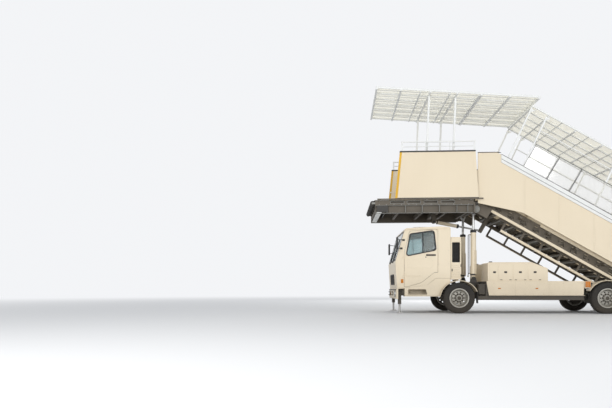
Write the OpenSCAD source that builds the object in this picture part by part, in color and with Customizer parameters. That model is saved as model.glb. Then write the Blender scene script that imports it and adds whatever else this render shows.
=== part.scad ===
// Self-propelled passenger stairs for aircraft: a cab-forward truck that carries a
// telescopic flight with a canopy and a level boarding platform over the cab.
// The frame: +X forward, +Y to the left, +Z up, origin on the ground under the middle.
// Inside the modules x counts from the front axle, and placed() moves it to the origin.

/* [Overall] */
// Front axle to the front of the platform's bumper
nose_reach = 2160; // [2120:10:2300]
// Rear axle to the rear end of the flight's foot
rear_overhang = 1500; // [1480:10:1700]
// Distance between the axles
wheelbase = 3500; // [3450:10:3560]
// Distance between the middles of the tyres on one axle
track = 1890; // [1870:5:1910]
// Height of the platform's floor
floor_z = 2790; // [2760:5:2850]

/* [Wheels] */
// Outer diameter of a tyre
tyre_d = 754; // [740:2:760]
// Width of a tyre
tyre_w = 205; // [195:1:215]
// Diameter of the rim where the tyre sits
rim_d = 444; // [430:1:450]
// Radius of the spindles
spindle_r = 34; // [30:1:36]
// Radial gap of a running fit
fit_gap = 0.05; // [0.02:0.01:0.1]
// Distance from the kingpin to the middle of the wheel
kingpin_offset = 100; // [98:1:104]

/* [Chassis] */
// Half distance between the two frame rails, to their middles
rail_y = 380; // [360:5:390]
// Width of a frame rail
rail_w = 70; // [60:1:80]
// Height of a frame rail
rail_h = 150; // [140:1:155]
// Underside of the frame rails
rail_z = 432; // [430:1:436]
// Height of the deck's top
deck_z = 790; // [788:1:800]
// Width over the deck
deck_w = 2000; // [1960:2:2020]
// Height of the side skirts
skirt_h = 350; // [300:5:360]
// Thickness of deck and skirt sheet
sheet_t = 6; // [4:1:8]

/* [Cab] */
// Width over the cab's sides
cab_w = 1960; // [1920:2:1980]
// Wall thickness of the cab
cab_wall = 35; // [30:1:40]
// Highest point of the cab's roof
cab_top = 2130; // [2100:5:2150]
// Width of a cab door
door_w = 810; // [790:5:820]

/* [Flight] */
// Pitch of the stairs at rest
pitch = 30; // [29:0.5:31]
// Going of a tread
going = 300; // [290:1:310]
// Depth of a tread
tread_depth = 270; // [250:1:275]
// Thickness of a tread
tread_t = 28; // [20:1:30]
// Half width of the upper flight's treads
upper_half = 740; // [720:2:750]
// Half width of the lower flight's treads
lower_half = 660; // [640:2:664]
// Height of the handrail over the nosings, straight up
hand_rise = 1110; // [1080:5:1130]
// Half distance between the flight's side panels, to their inner faces
guard_y = 990; // [980:1:1000]
// Half width of the canopy over the flight
hood_half = 975; // [960:5:980]

/* [Platform] */
// Width over the platform's frame
platform_w = 2100; // [2060:5:2120]
// Height of the sliding guards above the floor
guard_h = 1150; // [1100:5:1180]
// Height of the canopy's front edge
canopy_front_z = 5500; // [5450:5:5550]
// Width over the platform's canopy
canopy_w = 2470; // [2440:5:2500]

/* [Hidden] */
$fn = 48;

paint = "#efe6d6";
white = "#f4f4f1";
dark = "#2b2b2c";
grey = "#8b8c8e";
steel = "#b9bcc0";
rubber = "#1b1b1c";
amber = "#e8a020";
glass = "#9fb6c0";

// Bolted pieces of one sub-part lie this far apart, and welded ones sink into each other
seat_gap = 0.3;
sink = 5;

rear_axle = -wheelbase;
tail_reach = wheelbase + rear_overhang;
axle_x = (tail_reach - nose_reach) / 2;
wheel_r = tyre_d / 2;
wheel_y = track / 2;
kingpin_y = wheel_y - kingpin_offset;
rail_top = rail_z + rail_h;
rail_out = rail_y + rail_w / 2;
rail_in = rail_y - rail_w / 2;

module placed() translate([axle_x, 0, 0]) children();
module both() { children(); mirror([0, 1, 0]) children(); }

// A block given by its low and high corners
module block(a, b) translate(a) cube([b[0] - a[0], b[1] - a[1], b[2] - a[2]]);

// An outline in x and z, drawn through the thickness from y = a to y = b
module side(a, b) translate([0, b, 0]) rotate([90, 0, 0]) linear_extrude(b - a) children();

// A round bar along y from y = a to y = b at x and z
module bar_y(x, z, r, a, b) translate([x, a, z]) rotate([-90, 0, 0]) cylinder(r = r, h = b - a);

// A square tube between two points of the x, z plane, w high and from y = a to y = b
module beam(p, q, w, a, b) {
    d = q - p;
    translate([p[0], 0, p[1]]) rotate([0, -atan2(d[1], d[0]), 0])
        block([0, a, -w / 2], [norm(d), b, w / 2]);
}

// Corner points with a radius, turned into an outline with round corners
function dir(v) = v / norm(v);
function rounded(p) = [for (i = [0 : len(p) - 1])
    let (q = p[i], a = p[(i + len(p) - 1) % len(p)], b = p[(i + 1) % len(p)])
    each (q[2] == 0 ? [[q[0], q[1]]] : arc([a[0], a[1]], [q[0], q[1]], [b[0], b[1]], q[2], 6))];
function arc(a, q, b, r, n) =
    let (u = dir(a - q), v = dir(b - q), half = acos(u * v) / 2,
        c = q + dir(u + v) * r / sin(half), f = q + u * r / tan(half) - c,
        t = q + v * r / tan(half) - c, a0 = atan2(f[1], f[0]), a1 = atan2(t[1], t[0]),
        turn = (a1 - a0 + 540) % 360 - 180)
    [for (i = [0 : n]) c + r * [cos(a0 + turn * i / n), sin(a0 + turn * i / n)]];

/* The flight's line, from the pivot at its foot to the platform's hinge */

pivot_x = rear_axle - 450;
pivot_z = 550;
pivot_r = 30;
hinge_z = floor_z - 232.3;
hinge_under = 20;
hinge_len = (hinge_z - pivot_z + hinge_under * cos(pitch)) / sin(pitch);
hinge_local = [hinge_len, -hinge_under];
hinge_x = pivot_x + hinge_len * cos(pitch) + hinge_under * sin(pitch);
head_shaft_r = 35;
head_disc_r = 95;
landing_behind = 502.3;

// A vector of the x, z plane as seen in the slope's own frame
function to_slope(p) = [p[0] * cos(pitch) + p[1] * sin(pitch), p[1] * cos(pitch) - p[0] * sin(pitch)];
nose_x = hinge_x - landing_behind;
nose_top = hinge_local + to_slope([-landing_behind, floor_z - hinge_z]);

/* Chassis */

lift_x = hinge_x;
lift_y = 600;
lift_pin_z = 860;
lift_pin_r = 25;
bulkhead_x = 1470;
rail_x = [rear_axle - 360, bulkhead_x];
tail_low = 205;
tail_high = tail_low + 95;
tail_x = [rear_axle - 490, rear_axle - 400];
jack_r = 25;
jack_half = 40;
front_jack = [1420, 800];
rear_jack = [tail_x[0] - jack_half - seat_gap, 880];
foot_gap = 3;
front_beam_x = 1320;
cross_x = [rear_axle + 200, rear_axle + 1100, rear_axle + 2000, 900, front_beam_x];
outriggers = [rear_axle + 620, rear_axle + 1420, rear_axle + 2160, rear_axle + 2790];
outrigger_z = [700, deck_z - sheet_t - seat_gap];
side_beam_z = [330, 430];
side_beam_y = [905, 945];

module jack_housing(at, low, high) difference() {
    block([at[0] - jack_half, at[1] - jack_half, low], [at[0] + jack_half, at[1] + jack_half, high]);
    translate([at[0], at[1], low - 1]) cylinder(r = jack_r + 0.5, h = high - low - 20);
}

pivot_plate_y = [722, 747];

module rear_frame() {
    block([tail_x[0], -920, tail_low], [tail_x[1], 920, tail_high]);
    both() {
        block([tail_x[0], rail_in, tail_high + seat_gap], [rail_x[0] - seat_gap, rail_out, rail_top]);
        difference() {
            side(pivot_plate_y[0], pivot_plate_y[1]) union() {
                polygon([[tail_x[0], tail_high + seat_gap], [tail_x[1], tail_high + seat_gap],
                    [pivot_x + 70, pivot_z], [pivot_x - 70, pivot_z]]);
                translate([pivot_x, pivot_z]) circle(r = 70);
            }
            bar_y(pivot_x, pivot_z, pivot_r + fit_gap, 700, 760);
        }
        jack_housing(rear_jack, tail_low + 20, 700);
    }
}

base_low = 650;
base_top = 757;
base_half = 110;
lug_t = 25;

// The seat of the two lift cylinders: a box beam across the rails with a clevis at each end
module lift_base() {
    block([lift_x - base_half, -640, base_low], [lift_x + base_half, 640, base_top]);
    block([lift_x - base_half, -680, base_top + seat_gap], [lift_x + base_half, 680, base_top + 18]);
    both() {
        block([lift_x - base_half, rail_in, rail_top + seat_gap],
            [lift_x + base_half, rail_out, base_low - seat_gap]);
        for (y = [lift_y - 60, lift_y + 60 - lug_t]) difference() {
            side(y, y + lug_t) polygon(rounded([[lift_x - 75, base_top + 18 + seat_gap, 0],
                [lift_x + 75, base_top + 18 + seat_gap, 0], [lift_x + 45, lift_pin_z + 45, 40],
                [lift_x - 45, lift_pin_z + 45, 40]]));
            bar_y(lift_x, lift_pin_z, lift_pin_r + fit_gap, y - 1, y + lug_t + 1);
        }
    }
}

tow_pin_r = 16;
tow_x = 1580;
tow_plates = [[440, 455], [515, 530]];

module tow_coupling() difference() {
    union() {
        for (z = tow_plates) block([1500, -60, z[0]], [tow_x + 40, 60, z[1]]);
        block([1440, -60, tow_plates[0][0]], [1510, 60, tow_plates[1][1]]);
        block([1440, -rail_in + seat_gap, tow_plates[0][0]],
            [rail_x[1] - seat_gap, rail_in - seat_gap, tow_plates[1][1]]);
    }
    translate([tow_x, 0, 400]) cylinder(r = tow_pin_r, h = 200);
}

module outrigger(x) {
    block([x, -950, outrigger_z[0]], [x + 60, 950, outrigger_z[1]]);
    both() {
        block([x, rail_y - 30, rail_top + seat_gap], [x + 60, rail_y + 30, outrigger_z[0] - seat_gap]);
        block([x, side_beam_y[0] - 5, side_beam_z[1] + seat_gap],
            [x + 60, side_beam_y[1] + 5, outrigger_z[0] - seat_gap]);
    }
}

cab_floor_z = [600, 630];
cab_shelf_z = 860;
fender_post = [35, 830];

module cab_mounts() {
    for (x = [620, 1290])
        block([x, rail_y - 30, rail_top + seat_gap], [x + 70, rail_y + 30, cab_floor_z[0] - seat_gap]);
    block([250, rail_y - 30, rail_top + seat_gap], [330, rail_y + 30, cab_shelf_z - seat_gap]);
    block([-fender_post[0], rail_y - 30, rail_top + seat_gap], [fender_post[0], rail_y + 30, fender_post[1]]);
}

module chassis_frame() color(dark) placed() {
    both() {
        block([rail_x[0], rail_in, rail_z], [rail_x[1] - seat_gap, rail_out, rail_top]);
        cab_mounts();
        block([front_beam_x, rail_out + seat_gap, rail_z + 10],
            [front_jack[0] - jack_half - seat_gap, 900, rail_top - 10]);
        jack_housing(front_jack, tail_low + 20, rail_top - 2);
        block([outriggers[0] - 100, side_beam_y[0], side_beam_z[0]],
            [outriggers[3] + 260, side_beam_y[1], side_beam_z[1]]);
    }
    for (x = cross_x)
        block([x, -rail_in + seat_gap, rail_z + 30], [x + 60, rail_in - seat_gap, rail_top - 20]);
    for (x = outriggers) outrigger(x);
    rear_frame();
    lift_base();
    tow_coupling();
}

deck_x = [outriggers[0] - 120, outriggers[3] + 60];
arch_rx = 456;
arch_rz = 420;
arch_t = 10;
fender_y = [835, 1050];
skin_y = deck_w / 2 - 30;
step_x = [440, front_beam_x - sink];
step_z = [415, 440];

function arch_points(cx, grow, a, b, n) = [for (i = [0 : n]) let (t = a + (b - a) * i / n)
    [cx + (arch_rx + grow) * cos(t), wheel_r + (arch_rz + grow) * sin(t)]];

// A fender: a band that follows the wheel from angle a to angle b
module fender(cx, a, b, y0) side(y0, fender_y[1])
    polygon(concat(arch_points(cx, arch_t, a, b, 12), arch_points(cx, 0, b, a, 12)));

module deck() color(paint) placed() {
    block([deck_x[0], -skin_y, deck_z - sheet_t], [deck_x[1], skin_y, deck_z]);
    both() {
        side(skin_y, skin_y + sheet_t) polygon([[deck_x[0] + 40, deck_z - skirt_h],
            [deck_x[1] - 70, deck_z - skirt_h], [deck_x[1] - 10, deck_z], [deck_x[0] + 15, deck_z]]);
        fender(0, 8, 158, 720);
        block([-30, rail_y + 30 + seat_gap, fender_post[1] - 40], [30, 760, fender_post[1]]);
        fender(rear_axle, 24, 158, fender_y[0]);
        block([rear_axle + 360, fender_y[0], deck_z - sheet_t], [deck_x[0] + 10, skin_y, deck_z]);
        block([rear_axle + 380, skin_y - sink, 620], [deck_x[0] + 20, 1000 - seat_gap, deck_z]);
        block([step_x[0], 700, step_z[0]], [step_x[1], 990, step_z[1]]);
        block([step_x[0], 700, step_z[1] - sink], [step_x[1], 712, 590]);
    }
}

box_y = [340, 950];
box_x = [outriggers[0] + 750, outriggers[3] + 10];
module equipment_boxes() color(paint) placed() both()
    side(box_y[0], box_y[1]) polygon(rounded([[box_x[1], deck_z + seat_gap, 0], [box_x[1], 1240, 20],
        [box_x[0] + 380, 1240, 60], [box_x[0], 1090, 60], [box_x[0], deck_z + seat_gap, 0]]));

engine_x = [-1250, -730];
engine_half = 300;

module engine() color(grey) placed() {
    block([engine_x[0], -engine_half, 480], [engine_x[1], engine_half, 690]);
    block([engine_x[0] + 100, -180, 360], [engine_x[1] - 70, 180, 480 + sink]);
    both() block([engine_x[0] + 70, engine_half - sink, 500], [engine_x[0] + 130, rail_in - seat_gap, 560]);
}

leaf_t = 12;
leaf_y = [rail_out + 55, rail_out + 115];
leaf_half = 560;
leaf_rise = 60;

// A pack of leaves with its low middle at cx and z, and its ends up at the hangers
module leaf_spring(cx, z) {
    for (i = [0 : 3]) let (n = leaf_half - i * 110, t = i * leaf_t, up = leaf_rise * n / leaf_half)
        side(leaf_y[0], leaf_y[1]) polygon([
            [cx - n, z + up - t + leaf_t], [cx, z - t + leaf_t], [cx + n, z + up - t + leaf_t],
            [cx + n, z + up - t], [cx, z - t], [cx - n, z + up - t]]);
    for (x = [cx - leaf_half, cx + leaf_half - 20])
        block([x, rail_out + seat_gap, z + 40], [x + 20, leaf_y[1], z + 110]);
}

axle_beam_z = [330, 400];
kingpin_r = 20;
rear_tube_r = 50;

module axles() color(grey) placed() {
    difference() {
        union() {
            block([-40, -kingpin_y, axle_beam_z[0]], [40, kingpin_y, axle_beam_z[1]]);
            both() translate([0, kingpin_y, axle_beam_z[0]]) cylinder(r = 40, h = 94);
        }
        both() translate([0, kingpin_y, 300]) cylinder(r = kingpin_r + fit_gap, h = 150);
    }
    bar_y(rear_axle, wheel_r, rear_tube_r, -820, 820);
    bar_y(rear_axle, wheel_r, 150, -60, 60);
    both() {
        bar_y(rear_axle, wheel_r, spindle_r, 819, wheel_y + 30);
        leaf_spring(0, axle_beam_z[1] - 1 + 3 * leaf_t);
        leaf_spring(rear_axle, wheel_r + rear_tube_r - 2 + 3 * leaf_t);
    }
}

/* Steering */

arm_len = 150;
arm_in = 35;
knuckle_plate = [47, 73];
knuckle_low = 260;
knuckle_arm_h = 40;

module knuckle() color(grey) {
    translate([0, kingpin_y, knuckle_low]) cylinder(r = kingpin_r, h = 210);
    for (z = [knuckle_low, knuckle_low + 170]) {
        translate([0, kingpin_y, z]) cylinder(r = 40, h = knuckle_arm_h);
        block([-40, kingpin_y, z], [40, kingpin_y + knuckle_plate[0] + 1, z + knuckle_arm_h]);
    }
    block([-60, kingpin_y + knuckle_plate[0], knuckle_low], [60, kingpin_y + knuckle_plate[1], 494]);
    bar_y(0, wheel_r, spindle_r, kingpin_y + knuckle_plate[1] - 1, wheel_y + 30);
    block([-arm_len - 20, kingpin_y - arm_in - 20, knuckle_low], [-20, kingpin_y - 10, knuckle_low + 20]);
    translate([-arm_len, kingpin_y - arm_in, knuckle_low - 15]) cylinder(r = 14, h = 20);
}

module knuckle_left() placed() knuckle();
module knuckle_right() placed() mirror([0, 1, 0]) knuckle();

module tie_rod() color(dark) placed() {
    end_y = kingpin_y - arm_in;
    bar_y(-arm_len, knuckle_low - 35, 16, -end_y, end_y);
    both() translate([-arm_len, end_y, knuckle_low - 55]) cylinder(r = 24, h = 40 - seat_gap);
}

/* Wheels */

// Half of the tyre's section: radius and distance from the middle, from the bead outwards
function tyre_half(r, w, bead) = [
    [bead, w * 0.365], [bead + 18, w * 0.370], [bead + 40, w * 0.46], [(bead + r) / 2 + 5, w / 2],
    [r - 30, w * 0.475], [r - 8, w * 0.41], [r, w * 0.30]];

module tyre() color(rubber) {
    half = tyre_half(wheel_r, tyre_w, rim_d / 2);
    rotate([-90, 0, 0]) rotate_extrude($fn = 48)
        polygon(concat(half, [for (i = [len(half) - 1 : -1 : 0]) [half[i][0], -half[i][1]]]));
}

hand_holes = 10;

module rim() color(steel) {
    seat = rim_d / 2 - seat_gap;
    rotate([-90, 0, 0]) difference() {
        rotate_extrude($fn = 96) polygon([
            [spindle_r + fit_gap, -22], [75, -22], [75, 20], [120, 28], [165, 10], [seat - 14, -20],
            [seat - 14, -86], [seat + 14, -86], [seat + 14, -76], [seat, -76], [seat, 76],
            [seat + 14, 76], [seat + 14, 86], [seat - 14, 86], [seat - 14, -8], [168, 22],
            [122, 40], [75, 34], [70, 62], [spindle_r + fit_gap, 62]]);
        for (i = [0 : hand_holes - 1]) rotate([0, 0, i * 360 / hand_holes])
            translate([145, 0, -60]) cylinder(r = 17, h = 120);
    }
    rotate([-90, 0, 0]) translate([0, 0, 62]) cylinder(r = 55, h = 12);
}

module wheel_place(x, side_sign) translate([x, 0, wheel_r])
    mirror([0, side_sign < 0 ? 1 : 0, 0]) translate([0, wheel_y, 0]) children();

module tyre_front_left() placed() wheel_place(0, 1) tyre();
module tyre_front_right() placed() wheel_place(0, -1) tyre();
module tyre_rear_left() placed() wheel_place(rear_axle, 1) tyre();
module tyre_rear_right() placed() wheel_place(rear_axle, -1) tyre();
module rim_front_left() placed() wheel_place(0, 1) rim();
module rim_front_right() placed() wheel_place(0, -1) rim();
module rim_rear_left() placed() wheel_place(rear_axle, 1) rim();
module rim_rear_right() placed() wheel_place(rear_axle, -1) rim();

/* Cab */

cab_rear = 200;
cab_front_low = [1500, cab_floor_z[0]];
apron_x = 1515;
apron_low = 350;
cab_waist = [1540, 1262];
cab_brow = [1300, cab_top - 40];
roof_seam = cab_top - 60;
door_front = 1320;
door_low = 655;
door_rear = door_front - door_w;
cab_half = cab_w / 2;
seam = 6;
pane_t = 6;

// The cab's side seen from the left: x, z and corner radius
function cab_outline() = [
    [cab_rear, cab_shelf_z, 0], [560, cab_shelf_z, 0], [760, 700, 80],
    [cab_front_low[0], cab_front_low[1], 0],
    [cab_waist[0], cab_waist[1], 0], [cab_brow[0], cab_brow[1], 60], [cab_rear + 240, cab_top, 200],
    [cab_rear, cab_top - 15, 60]];
function door_outline(grow) = [
    [door_rear - grow, 1010 - grow, 0], [600, 1000 - grow, 60], [900, 760 - grow, 80],
    [1240, door_low - grow, 60], [door_front + grow, door_low - grow, 20],
    [door_front + grow, 1500 + grow, 0],
    [door_front - 130 + grow, 2010 + grow, 50], [door_rear + 60, 2060 + grow, 80],
    [door_rear - grow, 2040 + grow, 60]];
function window_outline(cut) = [
    [door_rear + 42 + cut, 1552 + cut, 60], [door_front - 45 - cut, 1408 + cut, 50],
    [door_front - 138 - cut, 1947 - cut, 50], [door_rear + 94 + cut, 2028 - cut, 60]];

door_hinge_z = [880, 1330];
door_axis = [door_front + 3, cab_half + 9];
hinge_h = 50;

// One half of a door hinge: a barrel on the axis, with a leaf towards the given x
module hinge_half(z, x) {
    translate([door_axis[0], door_axis[1], z]) cylinder(r = 8.5, h = hinge_h);
    block([min(x, door_axis[0]), cab_half - sink, z], [max(x, door_axis[0]), cab_half + 6, z + hinge_h]);
}

rear_window_y = 600;
rear_window_z = [1500, 1950];

module cab_body() color(paint) placed() {
    both() difference() {
        side(cab_half - cab_wall, cab_half) polygon(rounded(cab_outline()));
        side(cab_half - cab_wall - 1, cab_half + 1) polygon(rounded(door_outline(seam)));
        block([cab_rear - 1, cab_half - cab_wall - 1, roof_seam], [2000, cab_half + 1, cab_top + 40]);
    }
    difference() {
        block([cab_rear, -cab_half + cab_wall, cab_shelf_z],
            [cab_rear + cab_wall, cab_half - cab_wall, roof_seam]);
        block([cab_rear - 1, -rear_window_y, rear_window_z[0]],
            [cab_rear + cab_wall + 1, rear_window_y, rear_window_z[1]]);
    }
    both() for (z = door_hinge_z) hinge_half(z, door_front + 45);
    block([cab_rear + cab_wall, -cab_half + cab_wall, cab_shelf_z],
        [560, cab_half - cab_wall, cab_shelf_z + 30]);
    block([560, -cab_half + cab_wall, cab_floor_z[0]],
        [590, cab_half - cab_wall, cab_shelf_z + 30]);
    block([590, -cab_half + cab_wall, cab_floor_z[0]],
        [bulkhead_x, cab_half - cab_wall, cab_floor_z[1]]);
}

module cab_roof() color(paint) placed() {
    intersection() {
        side(-cab_half, cab_half) polygon(rounded(cab_outline()));
        block([cab_rear - 1, -cab_half - 1, roof_seam + seat_gap], [2000, cab_half + 1, cab_top + 40]);
    }
}

screen_half = 860;
screen_z = [1310, 2010];

module cab_front() color(paint) placed() {
    difference() {
        side(-cab_half + cab_wall + seat_gap, cab_half - cab_wall - seat_gap) polygon([
            [bulkhead_x + seat_gap, cab_front_low[1]], cab_front_low, cab_waist, cab_brow,
            [cab_brow[0] - 40, cab_brow[1] - 30], [cab_waist[0] - 40, cab_waist[1]],
            [bulkhead_x + seat_gap, 900]]);
        side(-screen_half, screen_half) polygon([[1600, screen_z[0]], [1600, screen_z[1]],
            [1200, screen_z[1]], [1440, screen_z[0]]]);
        block([0, -cab_half, roof_seam], [2000, cab_half, cab_top + 100]);
    }
    difference() {
        side(-cab_half, cab_half) polygon(rounded([
            [bulkhead_x, apron_low, 0], [apron_x, apron_low, 20], [apron_x, cab_floor_z[0] - seat_gap, 10],
            [bulkhead_x, cab_floor_z[0] - seat_gap, 0]]));
        block([bulkhead_x - 10, -80, tow_plates[0][0] - 15], [1600, 80, tow_plates[1][1] + 15]);
    }
}

module cab_glass() color(glass, 0.5) placed() {
    side(-screen_half + seat_gap, screen_half - seat_gap) polygon([[1527, screen_z[0] + seat_gap],
        [1517, screen_z[0] + seat_gap], [1316, screen_z[1] - seat_gap], [1326, screen_z[1] - seat_gap]]);
    block([cab_rear + 10, -rear_window_y + seat_gap, rear_window_z[0] + seat_gap],
        [cab_rear + 10 + pane_t, rear_window_y - seat_gap, rear_window_z[1] - seat_gap]);
}

module cab_door() {
    color(paint) difference() {
        side(cab_half - cab_wall, cab_half) polygon(rounded(door_outline(0)));
        side(cab_half - cab_wall - 1, cab_half + 1) polygon(rounded(window_outline(0)));
    }
    color(paint) for (z = door_hinge_z) hinge_half(z + hinge_h + seat_gap, door_front - 45);
    color(dark) block([door_rear + 70, cab_half - sink, 1420], [door_rear + 260, cab_half + 22, 1440]);
}
module door_left() placed() cab_door();
module door_right() placed() mirror([0, 1, 0]) cab_door();
module door_pane() color(glass, 0.5)
    side(cab_half - 22, cab_half - 22 + pane_t) polygon(rounded(window_outline(seat_gap)));
module door_glass_left() placed() door_pane();
module door_glass_right() placed() mirror([0, 1, 0]) door_pane();

seat_y = 430;
seat_half = 240;
seat_x = [330, 830];
cushion_z = [1040, 1180];
wheel_hub = [1175, 1262];
column_tilt = 60;
steering_r = 190;

module seat(y) {
    block([seat_x[0], y - seat_half, cab_shelf_z + 30 + seat_gap], [560, y + seat_half, cushion_z[0] + sink]);
    block([seat_x[0], y - seat_half, cushion_z[0]], [seat_x[1], y + seat_half, cushion_z[1]]);
    translate([seat_x[0] + 10, y - seat_half, cushion_z[1] - 30]) rotate([0, -8, 0])
        block([0, 0, 0], [120, 2 * seat_half, 650]);
}

module cab_interior() color(dark) placed() {
    seat(seat_y);
    seat(-seat_y);
    side(-900, 900) polygon(rounded([[bulkhead_x, 900, 0], [bulkhead_x, 1230, 0],
        [1330, 1240, 40], [1290, 1130, 40], [1380, 900, 0]]));
    translate([1335, seat_y, 1170]) rotate([0, -column_tilt, 0]) cylinder(r = 18, h = 190);
    translate([wheel_hub[0], seat_y, wheel_hub[1]]) rotate([0, -column_tilt, 0]) {
        rotate_extrude() translate([steering_r, 0]) circle(r = 14, $fn = 16);
        translate([0, 0, -10]) cylinder(r = 40, h = 22);
        for (a = [0 : 120 : 240]) rotate([0, 0, a]) translate([30, -10, -6]) cube([steering_r - 30, 20, 12]);
    }
}

mirror_y = [cab_half + 60, cab_half + 200];
mirror_z = [1550, 1865];

module mirrors() color(dark) placed() both() {
    block([1490, mirror_y[0] - 1, mirror_z[0]], [1530, mirror_y[1], mirror_z[1]]);
    block([1500, mirror_y[0] - 20, 1560], [1520, mirror_y[0], 1850]);
    block([1330, cab_half + seat_gap, 1580], [1520, cab_half + 15, 1610]);
    block([1500, cab_half + seat_gap, 1585], [1520, mirror_y[0], 1605]);
}

lamp_y = 700;
lamp_z = 480;
lamp_r = 75;

module lamps() placed() {
    color(white) both() translate([apron_x + seat_gap, lamp_y, lamp_z])
        rotate([0, 90, 0]) cylinder(r = lamp_r, h = 24);
    color(amber) both() {
        block([rear_axle + 390, 1000, 640], [deck_x[0] + 10, 1016, 780]);
        block([1345, cab_half + seat_gap, 745], [1405, cab_half + 12, 840]);
    }
}

/* Jacks */

pad_half = 75;

module jack_leg(at) {
    translate([at[0], at[1], foot_gap + 10]) cylinder(r = jack_r, h = 330);
    block([at[0] - pad_half, at[1] - pad_half, foot_gap],
        [at[0] + pad_half, at[1] + pad_half, foot_gap + 15]);
}
module front_jacks() color(steel) placed() both() jack_leg(front_jack);
module rear_jacks() color(steel) placed() both() jack_leg(rear_jack);

/* Lift cylinders */

barrel_r = 67;
rod_r = 30;
rod_eye_gap = 8;
barrel_low = 940;
barrel_high = 2070;

module lift_barrels() color(paint) placed() both() translate([lift_x, lift_y, 0]) {
    difference() {
        translate([0, 0, barrel_low]) cylinder(r = barrel_r, h = barrel_high - barrel_low);
        translate([0, 0, barrel_low + 25]) cylinder(r = rod_r + 0.5, h = 2000);
    }
    block([-40, -30, lift_pin_z], [40, 30, barrel_low + sink]);
    bar_y(0, lift_pin_z, 50, -30, 30);
    bar_y(0, lift_pin_z, lift_pin_r, -62, 62);
}

eye_t = 28;

module lift_rods() color(steel) placed() both() translate([0, lift_y, 0]) {
    translate([lift_x, 0, barrel_low + 225]) cylinder(r = rod_r, h = hinge_z - barrel_low - 225 - 70);
    difference() {
        union() {
            bar_y(hinge_x, hinge_z, 75, -eye_t, eye_t);
            block([lift_x - 40, -eye_t, hinge_z - 110], [lift_x + 30, eye_t, hinge_z - 40]);
        }
        bar_y(hinge_x, hinge_z, head_shaft_r + rod_eye_gap, -40, 40);
    }
}

/* Stair flights, in the slope's own frame at the pivot */

module on_slope() translate([pivot_x, 0, pivot_z]) rotate([0, -pitch, 0]) children();

chord_z = 150;
step_len = going / cos(pitch);
upper_nose_z = nose_top[1];
flight_gap = 12;
lower_nose_z = upper_nose_z - tread_depth * sin(pitch) - tread_t * cos(pitch) - flight_gap;
upper_end = -350;
lower_first = -1010;
lower_top = hinge_len - 810;
upper_count = floor((nose_top[0] - upper_end) / step_len);
lower_count = floor((lower_top - lower_first) / step_len) + 1;
lower_chord_z = -138;
truss_step = 520;
foot_z = [tail_low, 250];

// A tread with its nosing edge at the slope's x and z, level at the rest pitch
module tread(x, z, half) translate([x, 0, z]) rotate([0, pitch, 0])
    block([0, -half, -tread_t], [tread_depth, half, 0]);

module lower_side() {
    block([-330, lower_half + seat_gap, lower_chord_z - 25],
        [lower_top, lower_half + 40, lower_chord_z + 25]);
    block([-600, lower_half + seat_gap, lower_nose_z - 175],
        [lower_top + 150, lower_half + 20, lower_nose_z - 100]);
    for (x = [600 : truss_step : lower_top])
        block([x, lower_half + 5, lower_chord_z], [x + 50, lower_half + 35, lower_nose_z - 120]);
    for (x = [300, 1700, 3100])
        block([x, lower_half + 10, chord_z - 28], [x + 120, 770 - seat_gap, chord_z + 20]);
    bar_y(0, 0, 60, lower_half + seat_gap, pivot_plate_y[0] - seat_gap);
    bar_y(0, 0, pivot_r, lower_half + 20, 760);
}

module lower_flight() color(grey) placed() {
    on_slope() {
        both() lower_side();
        for (i = [0 : lower_count - 1]) tread(lower_first + i * step_len, lower_nose_z, lower_half);
    }
    both() side(lower_half + seat_gap, lower_half + 20) polygon([
        [-tail_reach, foot_z[0] + 10], [pivot_x - 320, foot_z[0]],
        [pivot_x - 150, 300], [pivot_x - 110, 330], [pivot_x + 50, 420], [pivot_x + 100, 600],
        [pivot_x + 50, 700], [pivot_x - 450, 560], [-tail_reach + 40, foot_z[1]], [-tail_reach, foot_z[1]]]);
}

bracket_first = nose_top[0] + 19;
bracket_step = 760;
bracket_z = [upper_nose_z - 147, upper_nose_z - 107];
lower_guard_z = [370, 1380];
lower_guard_y = [860, 872];
lower_guard_end = lower_top - 740;

module lower_guards() color(paint) placed() both() on_slope() {
    side(lower_guard_y[0], lower_guard_y[1]) polygon([[-1081, 208], [-450, 208], [-450, lower_guard_z[0]],
        [lower_guard_end, lower_guard_z[0]], [lower_guard_end, lower_guard_z[1]], [-404, lower_guard_z[1]]]);
    block([-375, 850, lower_guard_z[1] - sink], [lower_guard_end + 30, 882, lower_guard_z[1] + 45]);
    for (x = [-900, -520]) {
        block([x, lower_half + 20 + seat_gap, 150], [x + 50, lower_guard_y[0] + sink, 195]);
        block([x, lower_guard_y[0] - 30, 150], [x + 50, lower_guard_y[0] + sink, 420]);
    }
    block([-530, lower_guard_y[0] - 30, 375], [lower_guard_end - 20, lower_guard_y[0] + sink, 415]);
}

level_lug = [880, -200];
level_eye = [-320, -440];
level_pin_r = 20;
eye_plate_y = [35, 55];
eye_s = hinge_local + to_slope(level_eye);
head_y = [800, 835];
upper_y = [770, head_y[0] - seat_gap];

module upper_side() {
    block([upper_end, upper_y[0], chord_z - 30], [hinge_len - 90, upper_y[1], chord_z + 30]);
    block([upper_end, upper_half + seat_gap, upper_nose_z - 190],
        [hinge_len - 150, upper_half + 25, upper_nose_z - 100]);
    for (x = [bracket_first : -bracket_step / 2 : upper_end + 50])
        block([x, upper_half + 24, chord_z + 29], [x + 60, upper_y[1], upper_nose_z - 105]);
}

// The plate at the head of a side, with the hole that carries the hinge's shaft
module head_plate() difference() {
    union() {
        bar_y(hinge_local[0], hinge_local[1], head_disc_r, head_y[0], head_y[1]);
        block([hinge_len - 350, head_y[0], hinge_local[1] - 60], [hinge_local[0], head_y[1], chord_z + 30]);
    }
    bar_y(hinge_local[0], hinge_local[1], head_shaft_r + seat_gap, head_y[0] - 1, head_y[1] + 1);
}

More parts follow.
